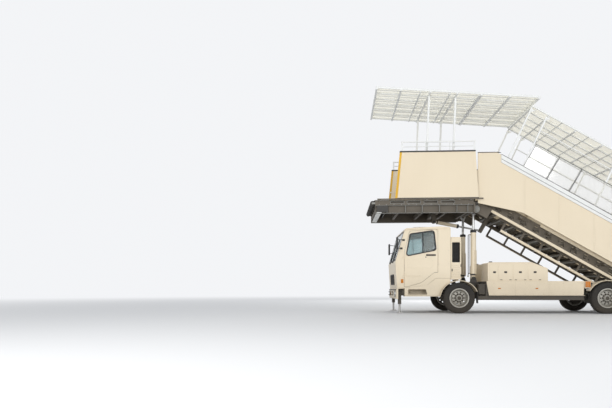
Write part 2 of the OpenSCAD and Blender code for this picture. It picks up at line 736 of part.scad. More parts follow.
module upper_flight() color(grey) placed() on_slope() {
    both() {
        upper_side();
        head_plate();
        for (i = [0 : 5]) let (x = bracket_first - i * bracket_step)
            block([x, head_y[0], bracket_z[0]], [x + 60, guard_y - seat_gap, bracket_z[1]]);
        block([eye_s[0] - 45, eye_plate_y[0], eye_s[1] - 45], [eye_s[0] + 45, eye_plate_y[1], chord_z]);
        bar_y(eye_s[0], eye_s[1], level_pin_r, 0, 60);
    }
    block([eye_s[0] - 45, -upper_y[0] + seat_gap, chord_z - 30],
        [eye_s[0] + 45, upper_y[0] - seat_gap, chord_z + 30]);
    for (i = [1 : upper_count]) tread(nose_top[0] - i * step_len, upper_nose_z, upper_half);
    bar_y(hinge_local[0], hinge_local[1], head_shaft_r, -905, 905);
    translate([nose_top[0], 0, nose_top[1]]) rotate([0, pitch, 0])
        block([0, -upper_half, -tread_t], [510, upper_half, 0]);
}

// Straight line of the nosings, as height over x in the truck's frame
function nosing(x) = floor_z + (x - nose_x) * tan(pitch);
panel_t = 25;
panel_end = pivot_x - 380;
panel_rise = 915;
panel_top = [hinge_x - 17, 3920];
panel_step = nose_x - 65;
hand_z = upper_nose_z + hand_rise * cos(pitch);

module upper_guards() color(paint) placed() both() side(guard_y, guard_y + panel_t) polygon(rounded([
    [panel_top[0], floor_z - 100, 0], [nose_x - 583, 2444, 250], [panel_end, nosing(panel_end) - 10, 0],
    [panel_end, nosing(panel_end) + panel_rise, 0], [panel_step, nosing(panel_step) + panel_rise, 0],
    [panel_step, nosing(panel_step) + hand_rise, 0],
    [panel_step + 120, panel_top[1], 60], [panel_top[0], panel_top[1], 0]]));

/* Canopy over the flight, from its front portal down to the foot */

hood_end = [450, hinge_len + 150];
portal_s = [hinge_len + 80, hinge_len - 1090, hinge_len - 2250, hinge_len - 3410];
tube = 40;
hood_z = 2750;
hood_rib_z = hood_z - tube - seat_gap;
hood_post_y = guard_y - 30 - seat_gap - tube;
hood_post_low = hand_z - 140;
pane_top = 2270;
pane_x = [portal_s[3] - tube, hood_end[1] - 410];

module hood_post(x, top) block([x - tube, hood_post_y, hood_post_low], [x, hood_post_y + tube, top]);

module stair_canopy_frame() color(white) placed() {
    both() side(guard_y - 30, guard_y + 45) polygon([
        [panel_step - seat_gap, nosing(panel_step) + panel_rise + seat_gap],
        [panel_end, nosing(panel_end) + panel_rise + seat_gap],
        [panel_end, nosing(panel_end) + hand_rise], [panel_step - seat_gap, nosing(panel_step) + hand_rise]]);
    on_slope() {
        for (x = portal_s) {
            both() hood_post(x, hood_rib_z - seat_gap);
            block([x - tube, -hood_post_y - tube, hood_rib_z], [x, hood_post_y + tube, hood_z - seat_gap]);
        }
        both() {
            hood_post(pane_x[1], pane_top + 30);
            block([pane_x[0], hood_post_y - 30 - seat_gap, pane_top],
                [pane_x[1], hood_post_y - seat_gap, pane_top + 30]);
        }
        for (i = [0 : 5]) let (y = -hood_half + sink + i * (2 * (hood_half - sink) - tube) / 5)
            block([hood_end[0], y, hood_z], [hood_end[1], y + tube, hood_z + 30]);
        for (x = [hood_end[0], hood_end[1] - 30])
            block([x, -hood_half + sink, hood_rib_z], [x + 30, hood_half - sink, hood_z - seat_gap]);
    }
}

module stair_glazing() color(glass, 0.4) placed() on_slope() {
    block([hood_end[0], -hood_half, hood_z + 30 + seat_gap], [hood_end[1], hood_half, hood_z + 36]);
    both() block([pane_x[0], hood_post_y + tube + seat_gap, hand_z + seat_gap],
        [pane_x[1], hood_post_y + tube + pane_t, pane_top + 30]);
}

/* Platform */

frame_low = 2460;
bumper_r = 60;
bumper_z = floor_z - 90;
nose_end = nose_reach - 2 * bumper_r - seat_gap;
guard_low = floor_z + 16;
beam_low = floor_z - 120;
platform_half = platform_w / 2;
floor_half = platform_half - 95;
beam_x = [hinge_x + 93, 2030];
lug_y = [38, 58];
canopy_slope = 4.66;
canopy_x = [-1870, 2030];
function canopy_at(x) = canopy_front_z - (canopy_x[1] - x) * tan(canopy_slope);

// Where the levelling cylinder's pin sits
level_pin = [hinge_x + level_lug[0], hinge_z + level_lug[1]];

module platform_side() {
    difference() {
        block([beam_x[0], platform_half - 60, beam_low - 20], [beam_x[1], platform_half, floor_z - 20]);
        for (x = [280, 690, 1100, 1500])
            block([x - 160, platform_half - 61, beam_low + 20], [x + 160, platform_half + 1, floor_z - 45]);
    }
    block([beam_x[0], platform_half - 120, frame_low],
        [beam_x[1], platform_half - 60 - seat_gap, floor_z - 20]);
    difference() {
        union() {
            bar_y(hinge_x, hinge_z, 90, 850, 890);
            block([hinge_x, 850, hinge_z - 60], [beam_x[0] - seat_gap, 890, hinge_z + 60]);
            block([beam_x[0] - 40, 850, hinge_z - 90],
                [beam_x[0] - seat_gap, platform_half - 10, hinge_z + 150]);
        }
        bar_y(hinge_x, hinge_z, head_shaft_r + fit_gap, 800, 950);
    }
    block([hinge_x - 127, platform_half + 20, floor_z - 15],
        [1990, platform_half + 50, guard_low - seat_gap]);
    for (x = [-300, 800, 1900])
        block([x, platform_half + seat_gap, floor_z - 45], [x + 60, platform_half + 20 + sink, floor_z - 5]);
}

module platform_frame() color(grey) placed() {
    both() platform_side();
    for (x = [-320, 200, 800, 1400, 1960])
        block([x, -platform_half + 120 + seat_gap, frame_low + 60],
            [x + 60, platform_half - 120 - seat_gap, frame_low + 160]);
    block([hinge_x + 33, -floor_half, floor_z - 20], [nose_end, floor_half, floor_z]);
    block([beam_x[1] + seat_gap, -platform_half, beam_low - 30],
        [nose_end, platform_half, floor_z - 20 - seat_gap]);
    both() difference() {
        side(lug_y[0], lug_y[1]) polygon(rounded([[level_pin[0] - 60, frame_low + 60 - seat_gap, 0],
            [level_pin[0] - 45, level_pin[1] - 45, 40], [level_pin[0] + 45, level_pin[1] - 45, 40],
            [level_pin[0] + 60, frame_low + 60 - seat_gap, 0]]));
        bar_y(level_pin[0], level_pin[1], level_pin_r + fit_gap, 0, 60);
    }
    block([level_pin[0] - 60, -platform_half + 120 + seat_gap, frame_low + 60],
        [level_pin[0] + 60, platform_half - 120 - seat_gap, frame_low + 160]);
}

module platform_bumper() color(rubber) placed()
    bar_y(nose_reach - bumper_r, bumper_z, bumper_r, -platform_half, platform_half);

guard_inner = platform_half + 25;
guard_rail_z = floor_z + 1385;
guard_top = floor_z + guard_h;
guard_tube_r = 16;

module guard() {
    color(paint) side(guard_inner, guard_inner + panel_t) polygon([[-450, guard_low], [1560, guard_low],
        [1445, guard_top], [-370, guard_top]]);
    color(dark) block([-372, guard_inner - 10, guard_top - 12], [1446, guard_inner + 35, guard_top + 14]);
    color(white) {
        for (x = [-350, 1390]) translate([x, guard_inner + 12, guard_top])
            cylinder(r = guard_tube_r, h = guard_rail_z - guard_top);
        translate([-366, guard_inner + 12, guard_rail_z])
            rotate([0, 90, 0]) cylinder(r = guard_tube_r, h = 1772);
    }
}
module guard_left() placed() guard();
module guard_right() placed() mirror([0, 1, 0]) guard();

post_x = [800, 160];
post_y = [floor_half + seat_gap + 5, floor_half + 50];
post_lean = 2.2;
function post_top_x(x) = x - (canopy_at(x) - floor_z) * tan(post_lean);
rib_x = [-1850, -1180, -510, post_top_x(post_x[1]), post_top_x(post_x[0]), 1400, 1985];
roof_bar_w = 40;
roof_rib_t = 30;

// A canopy post on the platform's side beam: a foot plate and a tube that leans back
module canopy_post(x) {
    foot = floor_z - 20 + seat_gap;
    block([x - 30, post_y[0] - 4, foot], [x + 75, post_y[1] + 40, foot + 12]);
    let (top_x = post_top_x(x), top = canopy_at(top_x) - roof_bar_w - roof_rib_t - 2 * seat_gap)
        side(post_y[0], post_y[1]) polygon([[x, foot + 12 + seat_gap], [x + 45, foot + 12 + seat_gap],
            [top_x + 45, top], [top_x, top]]);
}

// A bar along the roof, 30 wide from y
module roof_bar(y) beam([canopy_x[0], canopy_at(canopy_x[0]) - roof_bar_w / 2],
    [canopy_x[1], canopy_at(canopy_x[1]) - roof_bar_w / 2], roof_bar_w, y, y + 30);

module platform_canopy_frame() color(white) placed() {
    both() {
        for (x = post_x) canopy_post(x);
        for (y = [400, 800, canopy_w / 2 - 30])
            roof_bar(y);
    }
    roof_bar(-15);
    for (x = rib_x) translate([x, 0, canopy_at(x)]) rotate([0, -canopy_slope, 0])
        block([0, -canopy_w / 2, -roof_bar_w - roof_rib_t - seat_gap],
            [45, canopy_w / 2, -roof_bar_w - seat_gap]);
}

module platform_canopy_sheet() color(glass, 0.5) placed()
    beam([canopy_x[0], canopy_at(canopy_x[0]) + 3.5], [canopy_x[1], canopy_at(canopy_x[1]) + 3.5], 6,
        -canopy_w / 2, canopy_w / 2);

/* Levelling cylinder between the platform and the head of the flight */

eye_pin = [hinge_x + level_eye[0], hinge_z + level_eye[1]];
level_dir = dir(eye_pin - level_pin);
level_angle = atan2(level_dir[1], level_dir[0]);

module level_barrel() color(paint) placed()
    translate([level_pin[0], 0, level_pin[1]]) rotate([0, -level_angle, 0]) {
    rotate([0, 90, 0]) difference() {
        translate([0, 0, 75]) cylinder(r = 45, h = 575);
        translate([0, 0, 110]) cylinder(r = 22.5, h = 600);
    }
    block([0, -28, -28], [75 + sink, 28, 28]);
    bar_y(0, 0, 38, -35, 35);
    bar_y(0, 0, level_pin_r, -58, 58);
}

module level_rod() color(steel) placed()
    translate([eye_pin[0], 0, eye_pin[1]]) rotate([0, 180 - level_angle, 0]) difference() {
        union() {
            rotate([0, 90, 0]) translate([0, 0, 30]) cylinder(r = 22, h = 950);
            bar_y(0, 0, 38, -30, 30);
        }
        bar_y(0, 0, level_pin_r + 3, -31, 31);
    }

chassis_frame();
deck();
equipment_boxes();
engine();
axles();
knuckle_left();
knuckle_right();
tie_rod();
tyre_front_left();
tyre_front_right();
tyre_rear_left();
tyre_rear_right();
rim_front_left();
rim_front_right();
rim_rear_left();
rim_rear_right();
cab_body();
cab_front();
cab_roof();
cab_glass();
door_left();
door_right();
door_glass_left();
door_glass_right();
cab_interior();
mirrors();
lamps();
front_jacks();
rear_jacks();
lift_barrels();
lift_rods();
level_barrel();
level_rod();
lower_flight();
lower_guards();
upper_flight();
upper_guards();
stair_canopy_frame();
stair_glazing();
platform_frame();
platform_bumper();
guard_left();
guard_right();
platform_canopy_frame();
platform_canopy_sheet();
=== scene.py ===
# %% [markdown]
# Mobile boarding stairs: a cab-forward truck that carries a telescopic flight.
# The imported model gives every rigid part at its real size, so the first step loads it
# and keeps its box. Every later piece is placed from that frame and rides on its bodies.

# %% Load the frame
import bpy
import bmesh
import math
from mathutils import Matrix, Vector


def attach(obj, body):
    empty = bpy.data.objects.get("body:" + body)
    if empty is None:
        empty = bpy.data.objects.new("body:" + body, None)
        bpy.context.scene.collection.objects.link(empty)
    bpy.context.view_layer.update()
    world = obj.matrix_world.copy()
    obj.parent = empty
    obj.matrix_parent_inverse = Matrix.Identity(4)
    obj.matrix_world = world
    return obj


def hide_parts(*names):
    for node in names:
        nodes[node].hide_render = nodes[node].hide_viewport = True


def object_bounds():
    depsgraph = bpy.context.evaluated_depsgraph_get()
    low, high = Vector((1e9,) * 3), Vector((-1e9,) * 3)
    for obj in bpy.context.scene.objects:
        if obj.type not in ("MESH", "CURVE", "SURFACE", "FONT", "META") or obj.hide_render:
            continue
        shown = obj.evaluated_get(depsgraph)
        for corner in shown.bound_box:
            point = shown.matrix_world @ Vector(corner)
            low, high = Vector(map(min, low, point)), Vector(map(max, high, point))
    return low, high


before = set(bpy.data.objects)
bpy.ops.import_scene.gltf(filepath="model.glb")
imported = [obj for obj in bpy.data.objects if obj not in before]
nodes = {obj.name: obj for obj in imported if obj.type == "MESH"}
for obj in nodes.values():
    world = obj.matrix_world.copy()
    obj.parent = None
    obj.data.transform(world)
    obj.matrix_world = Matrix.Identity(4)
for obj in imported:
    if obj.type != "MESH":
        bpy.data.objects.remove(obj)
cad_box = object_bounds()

size = cad_box[1] - cad_box[0]
print("box of the solids:", [round(value, 3) for value in size])

# %% [markdown]
# The camera stands low beside the truck, on its left, and looks almost square to it.
# Its height is a little over half a metre, which is why the horizon crosses the wheels'
# upper edge and the platform is seen from below. The view is level, and a lens shift
# lifts the picture instead, so uprights stay parallel as they do in the photograph.

# %% Camera
PICTURE_WIDTH = 612
FOCAL_PIXELS = 560
HORIZON_BELOW_MIDDLE = 84.5
YAW = math.radians(3.53)
SENSOR_WIDTH = 36
FAR_CLIP = 400
EYE = (4.305, 14.853, 0.61)
camera_data = bpy.data.cameras.new("camera")
camera = bpy.data.objects.new("camera", camera_data)
bpy.context.scene.collection.objects.link(camera)
camera_data.sensor_width = SENSOR_WIDTH
camera_data.lens = camera_data.sensor_width * FOCAL_PIXELS / PICTURE_WIDTH
camera_data.shift_y = HORIZON_BELOW_MIDDLE / PICTURE_WIDTH
camera_data.clip_end = FAR_CLIP
camera.location = EYE
camera.rotation_euler = (math.radians(90), 0, math.radians(180) + YAW)
bpy.context.scene.camera = camera
print("lens:", round(camera_data.lens, 2), "mm")

# %% [markdown]
# Plain studio light: a white surround seen by the camera, by gloss and through glass,
# a dimmer dome for the light itself, and large soft lamps. One of them stands low and
# lights the canopies' undersides. A wide pale floor takes the shadow.

# %% Light and floor
SURROUND_TONE = (0.90, 0.91, 0.93, 1)
DOME_TONE = (0.92, 0.95, 1.0, 1)
DOME_STRENGTH = 0.66
FLOOR_TONE = (0.74, 0.74, 0.735, 1)
FLOOR_REACH = 90
FADE_START, FADE_END = 6.0, 34.0
scene = bpy.context.scene
scene.view_settings.view_transform = "Standard"


def wire(tree, from_node, from_socket, to_node, to_socket):
    tree.links.new(from_node.outputs[from_socket], to_node.inputs[to_socket])


def math_node(tree, operation, first, second=None, third=None, clamp=False):
    made = tree.nodes.new("ShaderNodeMath")
    made.operation = operation
    made.use_clamp = clamp
    for index, value in enumerate((first, second, third)):
        if value is None:
            continue
        if isinstance(value, (int, float)):
            made.inputs[index].default_value = value
        else:
            tree.links.new(value, made.inputs[index])
    return made.outputs[0]


def background(tree, tone, strength):
    made = tree.nodes.new("ShaderNodeBackground")
    made.inputs["Color"].default_value = tone
    made.inputs["Strength"].default_value = strength
    return made


def new_material(name):
    material = bpy.data.materials.new(name)
    material.use_nodes = True
    return material, material.node_tree, material.node_tree.nodes["Principled BSDF"]


world = bpy.data.worlds.new("surround")
scene.world = world
world.use_nodes = True
tree = world.node_tree
tree.nodes.clear()
path = tree.nodes.new("ShaderNodeLightPath").outputs
seen = math_node(tree, "MAXIMUM", path["Is Camera Ray"], path["Is Transmission Ray"])
choose = tree.nodes.new("ShaderNodeMixShader")
tree.links.new(math_node(tree, "MAXIMUM", seen, path["Is Glossy Ray"]), choose.inputs[0])
wire(tree, background(tree, DOME_TONE, DOME_STRENGTH), 0, choose, 1)
wire(tree, background(tree, SURROUND_TONE, 1.0), 0, choose, 2)
wire(tree, choose, 0, tree.nodes.new("ShaderNodeOutputWorld"), 0)


def soft_lamp(name, at, aim, side, watts):
    data = bpy.data.lights.new(name, "AREA")
    data.shape = "DISK"
    data.size = side
    data.energy = watts
    lamp = bpy.data.objects.new(name, data)
    scene.collection.objects.link(lamp)
    lamp.location = at
    lamp.rotation_euler = (Vector(aim) - Vector(at)).to_track_quat("-Z", "Y").to_euler()


soft_lamp("key lamp", (8, 15, 5.5), (0, 0, 2), 7, 780)
soft_lamp("fill lamp", (-10, 11, 4.5), (0, 0, 2), 8, 330)
soft_lamp("low lamp", (-1, 12, 1.9), (0.4, 0, 5.4), 3.5, 110)
soft_lamp("back lamp", (-2, -15, 7), (0, 0, 2), 8, 700)

floor_mesh = bpy.data.meshes.new("floor")
corners = [(-1, -1), (1, -1), (1, 1), (-1, 1)]
floor_mesh.from_pydata([(x * FLOOR_REACH, y * FLOOR_REACH, 0) for x, y in corners], [], [(0, 1, 2, 3)])
floor = bpy.data.objects.new("floor", floor_mesh)
scene.collection.objects.link(floor)
floor_finish, tree, floor_shader = new_material("pale_floor")
floor_shader.inputs["Base Color"].default_value = FLOOR_TONE
floor_shader.inputs["Roughness"].default_value = 0.9
# Far from the truck the floor turns into the surround, for the camera alone
away = tree.nodes.new("ShaderNodeVectorMath")
away.operation = "LENGTH"
wire(tree, tree.nodes.new("ShaderNodeTexCoord"), "Object", away, 0)
far = tree.nodes.new("ShaderNodeMapRange")
far.interpolation_type = "SMOOTHSTEP"
far.inputs["From Min"].default_value = FADE_START
far.inputs["From Max"].default_value = FADE_END
wire(tree, away, "Value", far, "Value")
camera_ray = tree.nodes.new("ShaderNodeLightPath").outputs["Is Camera Ray"]
horizon = tree.nodes.new("ShaderNodeEmission")
horizon.inputs["Color"].default_value = SURROUND_TONE
fade = tree.nodes.new("ShaderNodeMixShader")
tree.links.new(math_node(tree, "MULTIPLY", far.outputs[0], camera_ray), fade.inputs[0])
wire(tree, floor_shader, 0, fade, 1)
wire(tree, horizon, 0, fade, 2)
wire(tree, fade, 0, tree.nodes["Material Output"], "Surface")
floor_mesh.materials.append(floor_finish)
print("lamps:", [light.name for light in bpy.data.lights])

# %% [markdown]
# Most finishes on a machine that works outdoors share the same few effects: a softened
# arris that has lost some paint, dirt that gathers low down and runs in streaks, and a
# slow change of tone over each panel. Each effect is a shader group with named sockets,
# built once and given other values in each finish. A bevel node reads the edges, so it
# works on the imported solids, whose meshes must stay as they are.

# %% Shader groups
def new_group(name, inputs, outputs):
    group = bpy.data.node_groups.new(name, "ShaderNodeTree")
    for socket, kind, value in inputs:
        made = group.interface.new_socket(socket, in_out="INPUT", socket_type="NodeSocket" + kind)
        made.default_value = value
    for socket, kind in outputs:
        group.interface.new_socket(socket, in_out="OUTPUT", socket_type="NodeSocket" + kind)
    return group, group.nodes.new("NodeGroupInput"), group.nodes.new("NodeGroupOutput")


def noise(tree, place, scale, detail=4.0, stretch=None):
    if stretch is not None:
        mapping = tree.nodes.new("ShaderNodeMapping")
        mapping.inputs["Scale"].default_value = stretch
        tree.links.new(place, mapping.inputs["Vector"])
        place = mapping.outputs[0]
    made = tree.nodes.new("ShaderNodeTexNoise")
    made.inputs["Detail"].default_value = detail
    tree.links.new(place, made.inputs["Vector"])
    if isinstance(scale, (int, float)):
        made.inputs["Scale"].default_value = scale
    else:
        tree.links.new(scale, made.inputs["Scale"])
    return made.outputs["Fac"]


def mix_colour(tree, factor, first, second):
    mix = tree.nodes.new("ShaderNodeMix")
    mix.data_type = "RGBA"
    sockets = [socket for socket in mix.inputs if socket.type == "RGBA"]
    for socket, value in zip(sockets, (first, second)):
        if isinstance(value, tuple):
            socket.default_value = value
        else:
            tree.links.new(value, socket)
    tree.links.new(factor, mix.inputs["Factor"])
    return next(socket for socket in mix.outputs if socket.type == "RGBA")


BEVEL_SAMPLES = 4
CHIP_GAIN = 22.0


def worn_edge_group():
    group, given, out = new_group(
        "worn_edge",
        [("Radius", "Float", 0.004), ("Scale", "Float", 9.0), ("Amount", "Float", 1.0)],
        [("Normal", "Vector"), ("Wear", "Float")])
    bevel = group.nodes.new("ShaderNodeBevel")
    bevel.samples = BEVEL_SAMPLES
    wire(group, given, "Radius", bevel, "Radius")
    wire(group, bevel, 0, out, "Normal")
    geometry = group.nodes.new("ShaderNodeNewGeometry")
    dot = group.nodes.new("ShaderNodeVectorMath")
    dot.operation = "DOT_PRODUCT"
    wire(group, bevel, 0, dot, 0)
    wire(group, geometry, "Normal", dot, 1)
    place = group.nodes.new("ShaderNodeTexCoord").outputs["Object"]
    bent = math_node(group, "SUBTRACT", 1.0, dot.outputs["Value"])
    patchy = noise(group, place, given.outputs["Scale"], 6.0)
    chipped = math_node(group, "MULTIPLY", bent, math_node(group, "POWER", patchy, 2.0))
    strong = math_node(group, "MULTIPLY", chipped, CHIP_GAIN)
    mask = math_node(group, "MULTIPLY", strong, given.outputs["Amount"], clamp=True)
    group.links.new(mask, out.inputs["Wear"])
    return group


CLOUD_SCALE, SPECK_SCALE = 2.6, 38.0
STREAK_STRETCH = (15.0, 15.0, 0.9)
STREAK_GAIN = 2.0


def grime_group():
    group, given, out = new_group(
        "grime",
        [("Low", "Float", 0.2), ("High", "Float", 1.2), ("Streaks", "Float", 0.3), ("Amount", "Float", 0.6)],
        [("Mask", "Float")])
    place = group.nodes.new("ShaderNodeTexCoord").outputs["Object"]
    apart = group.nodes.new("ShaderNodeSeparateXYZ")
    group.links.new(place, apart.inputs[0])
    fade = group.nodes.new("ShaderNodeMapRange")
    group.links.new(apart.outputs["Z"], fade.inputs["Value"])
    wire(group, given, "Low", fade, "From Min")
    wire(group, given, "High", fade, "From Max")
    fade.inputs["To Min"].default_value = 1.0
    fade.inputs["To Max"].default_value = 0.0
    cloud = noise(group, place, CLOUD_SCALE, 5.0)
    speck = noise(group, place, SPECK_SCALE, 3.0)
    streak = noise(group, place, 1.0, 4.0, stretch=STREAK_STRETCH)
    low_dirt = math_node(group, "MULTIPLY", fade.outputs[0], math_node(group, "ADD", cloud, 0.15))
    patchy_runs = math_node(group, "MULTIPLY", math_node(group, "POWER", streak, 4.0), cloud)
    runs = math_node(group, "MULTIPLY", patchy_runs, given.outputs["Streaks"])
    both = math_node(group, "ADD", low_dirt, math_node(group, "MULTIPLY", runs, STREAK_GAIN))
    broken = math_node(group, "MULTIPLY", both, math_node(group, "ADD", speck, 0.5))
    mask = math_node(group, "MULTIPLY", broken, given.outputs["Amount"], clamp=True)
    group.links.new(mask, out.inputs["Mask"])
    return group


GRAIN_SCALE = 160.0


def mottle_group():
    group, given, out = new_group(
        "mottle",
        [("First", "Color", (1, 1, 1, 1)), ("Second", "Color", (0.8, 0.8, 0.8, 1)), ("Scale", "Float", 1.5)],
        [("Color", "Color"), ("Height", "Float")])
    place = group.nodes.new("ShaderNodeTexCoord").outputs["Object"]
    broad = noise(group, place, given.outputs["Scale"], 5.0)
    mixed = mix_colour(group, broad, given.outputs["First"], given.outputs["Second"])
    group.links.new(mixed, out.inputs["Color"])
    fine = noise(group, place, math_node(group, "MULTIPLY", given.outputs["Scale"], GRAIN_SCALE), 2.0)
    group.links.new(fine, out.inputs["Height"])
    return group


worn_edge = worn_edge_group()
grime = grime_group()
mottle = mottle_group()
print("shader groups:", [group.name for group in bpy.data.node_groups])

# %% [markdown]
# A finish is a principled shader with those groups in front of it. One function lays
# them out in the order in which a real surface gets them: the coat with its tone, dirt
# on top, worn edges last, and a fine grain in the bump. What differs between paint,
# rubber and steel are the values, so each finish is one short call with its own.
# The canopies' sheet also gives off a little light, for what soaks through it from above.

# %% Finishes
def colour(red, green, blue):
    """A colour as it looks on a screen, from 0 to 255, turned into the linear value a shader takes."""
    def linear(value):
        value /= 255
        return value / 12.92 if value <= 0.04045 else ((value + 0.055) / 1.055) ** 2.4
    return (linear(red), linear(green), linear(blue), 1.0)


def place_group(tree, group, **values):
    made = tree.nodes.new("ShaderNodeGroup")
    made.node_tree = group
    for socket, value in values.items():
        made.inputs[socket].default_value = value
    return made


DIRT_DULLS = 0.35
GRAIN_DULLS = 0.10


def finish(name, tone, second_tone, rough, metal=0.0, tone_scale=1.3, edge=0.004, wear=0.5,
           worn_to=(120, 116, 110), dirt=(96, 84, 66), dirt_low=0.1, dirt_high=1.4, streaks=0.3,
           dirt_amount=0.5, grain=0.12, grain_size=0.002):
    material, tree, shader = new_material(name)
    tone_node = place_group(tree, mottle, First=colour(*tone), Second=colour(*second_tone), Scale=tone_scale)
    dirt_node = place_group(tree, grime, Low=dirt_low, High=dirt_high, Streaks=streaks, Amount=dirt_amount)
    edge_node = place_group(tree, worn_edge, Radius=edge, Amount=wear)
    dirty = mix_colour(tree, dirt_node.outputs["Mask"], tone_node.outputs["Color"], colour(*dirt))
    worn = mix_colour(tree, edge_node.outputs["Wear"], dirty, colour(*worn_to))
    tree.links.new(worn, shader.inputs["Base Color"])
    dulled = math_node(tree, "MULTIPLY_ADD", dirt_node.outputs["Mask"], DIRT_DULLS, rough, clamp=True)
    uneven = math_node(tree, "MULTIPLY_ADD", tone_node.outputs["Height"], GRAIN_DULLS, dulled, clamp=True)
    tree.links.new(uneven, shader.inputs["Roughness"])
    shader.inputs["Metallic"].default_value = metal
    bump = tree.nodes.new("ShaderNodeBump")
    bump.inputs["Strength"].default_value = grain
    bump.inputs["Distance"].default_value = grain_size
    tree.links.new(tone_node.outputs["Height"], bump.inputs["Height"])
    wire(tree, edge_node, "Normal", bump, "Normal")
    wire(tree, bump, 0, shader, "Normal")
    return material


cream_paint = finish("cream_paint", (234, 220, 194), (224, 208, 180), 0.34, wear=0.3, tone_scale=0.7,
                     streaks=0.12, dirt_amount=0.45, dirt_high=1.1)
white_coat = finish("white_coat", (243, 243, 240), (232, 233, 230), 0.34, wear=0.15, dirt_low=2.5,
                    dirt_high=5.5, dirt_amount=0.12, streaks=0.3)
dark_chassis = finish("dark_chassis", (52, 51, 50), (66, 63, 58), 0.55, dirt=(104, 92, 72),
                      worn_to=(104, 98, 90), dirt_amount=0.5)
galvanised = finish("galvanised", (150, 150, 146), (122, 120, 112), 0.5, metal=0.35, tone_scale=6.0,
                    worn_to=(190, 190, 186), dirt=(88, 78, 62), dirt_amount=0.7)
bright_steel = finish("bright_steel", (196, 196, 194), (168, 167, 164), 0.26, metal=0.9, tone_scale=9.0,
                      worn_to=(220, 220, 218), dirt_amount=0.35)
rim_silver = finish("rim_silver", (196, 194, 186), (170, 167, 158), 0.40, metal=0.3, tone_scale=7.0,
                    worn_to=(120, 110, 96), dirt=(104, 90, 70), dirt_high=0.9, dirt_amount=0.6)
tyre_black = finish("tyre_black", (34, 33, 32), (44, 42, 40), 0.8, worn_to=(70, 66, 60), wear=0.5,
                    dirt=(96, 84, 66), dirt_high=0.7, dirt_amount=0.4, grain=0.35)
bumper_black = finish("bumper_black", (30, 30, 30), (42, 41, 40), 0.7, worn_to=(80, 78, 74),
                      dirt_low=1.0, dirt_high=4.0, dirt_amount=0.4, grain=0.3)
trim_black = finish("trim_black", (38, 38, 39), (50, 50, 50), 0.6, worn_to=(88, 86, 82), grain=0.4,
                    dirt_amount=0.3)
hose_black = finish("hose_black", (28, 28, 29), (38, 37, 36), 0.48, worn_to=(72, 70, 66), wear=0.3, grain=0.2,
                    dirt_amount=0.4)
zinc_fitting = finish("zinc_fitting", (186, 172, 132), (160, 150, 122), 0.3, metal=0.8, tone_scale=14.0,
                      worn_to=(206, 202, 190), dirt_amount=0.4)
warning_yellow = finish("warning_yellow", (232, 182, 32), (216, 164, 28), 0.4, wear=0.6, streaks=0.2,
                        dirt_low=2.0, dirt_high=4.5, dirt_amount=0.2)
seat_cloth = finish("seat_cloth", (56, 60, 68), (42, 45, 52), 0.85, wear=0.0, tone_scale=3.0, grain=0.7,
                    grain_size=0.003, dirt_amount=0.1)
step_grey = finish("step_grey", (172, 172, 166), (140, 139, 132), 0.46, metal=0.4, tone_scale=5.0,
                   worn_to=(204, 204, 200), dirt=(92, 82, 66), dirt_low=0.2, dirt_high=3.2, dirt_amount=0.45)
# A darker, brownish grey steel for the platform's underframe and the flights' side plates.
dark_brown_steel = finish("dark_brown_steel", (112, 104, 92), (88, 81, 70), 0.5, metal=0.15, tone_scale=3.0,
                     worn_to=(150, 146, 136), dirt=(70, 60, 44), dirt_low=0.3, dirt_high=3.4, dirt_amount=0.6)
mirror_silver = finish("mirror_silver", (226, 228, 230), (218, 220, 223), 0.04, metal=1.0, wear=0.0,
                       dirt_amount=0.1, grain=0.01)


GLASS_IOR, LENS_IOR, SHEET_IOR = 1.45, 1.4, 1.1


def clear_pane():
    material, tree, shader = new_material("tinted_glass")
    tint = place_group(tree, mottle, First=colour(206, 222, 222), Second=colour(190, 208, 210), Scale=0.8)
    wire(tree, tint, "Color", shader, "Base Color")
    film = place_group(tree, grime, Low=0.8, High=2.6, Streaks=0.4, Amount=0.5)
    tree.links.new(math_node(tree, "MULTIPLY_ADD", film.outputs["Mask"], 0.5, 0.03, clamp=True),
                   shader.inputs["Roughness"])
    shader.inputs["Transmission Weight"].default_value = 0.92
    shader.inputs["IOR"].default_value = GLASS_IOR
    return material


def canopy_panel(name, cover, through, glow):
    """Pale plastic sheet: cover hides what lies behind, glow stands for light that soaks through."""
    material, tree, shader = new_material(name)
    tint = place_group(tree, mottle, First=colour(246, 244, 234), Second=colour(234, 232, 222), Scale=1.1)
    film = place_group(tree, grime, Low=2.0, High=6.0, Streaks=0.5, Amount=0.25)
    tone = mix_colour(tree, film.outputs["Mask"], tint.outputs["Color"], colour(150, 142, 124))
    tree.links.new(tone, shader.inputs["Base Color"])
    tree.links.new(tone, shader.inputs["Emission Color"])
    shader.inputs["Emission Strength"].default_value = glow
    tree.links.new(math_node(tree, "MULTIPLY_ADD", film.outputs["Mask"], 0.5, cover, clamp=True),
                   shader.inputs["Alpha"])
    tree.links.new(math_node(tree, "MULTIPLY_ADD", tint.outputs["Height"], 0.2, 0.25),
                   shader.inputs["Roughness"])
    shader.inputs["Transmission Weight"].default_value = through
    shader.inputs["IOR"].default_value = SHEET_IOR
    return material


FLUTE_SCALE = 55.0


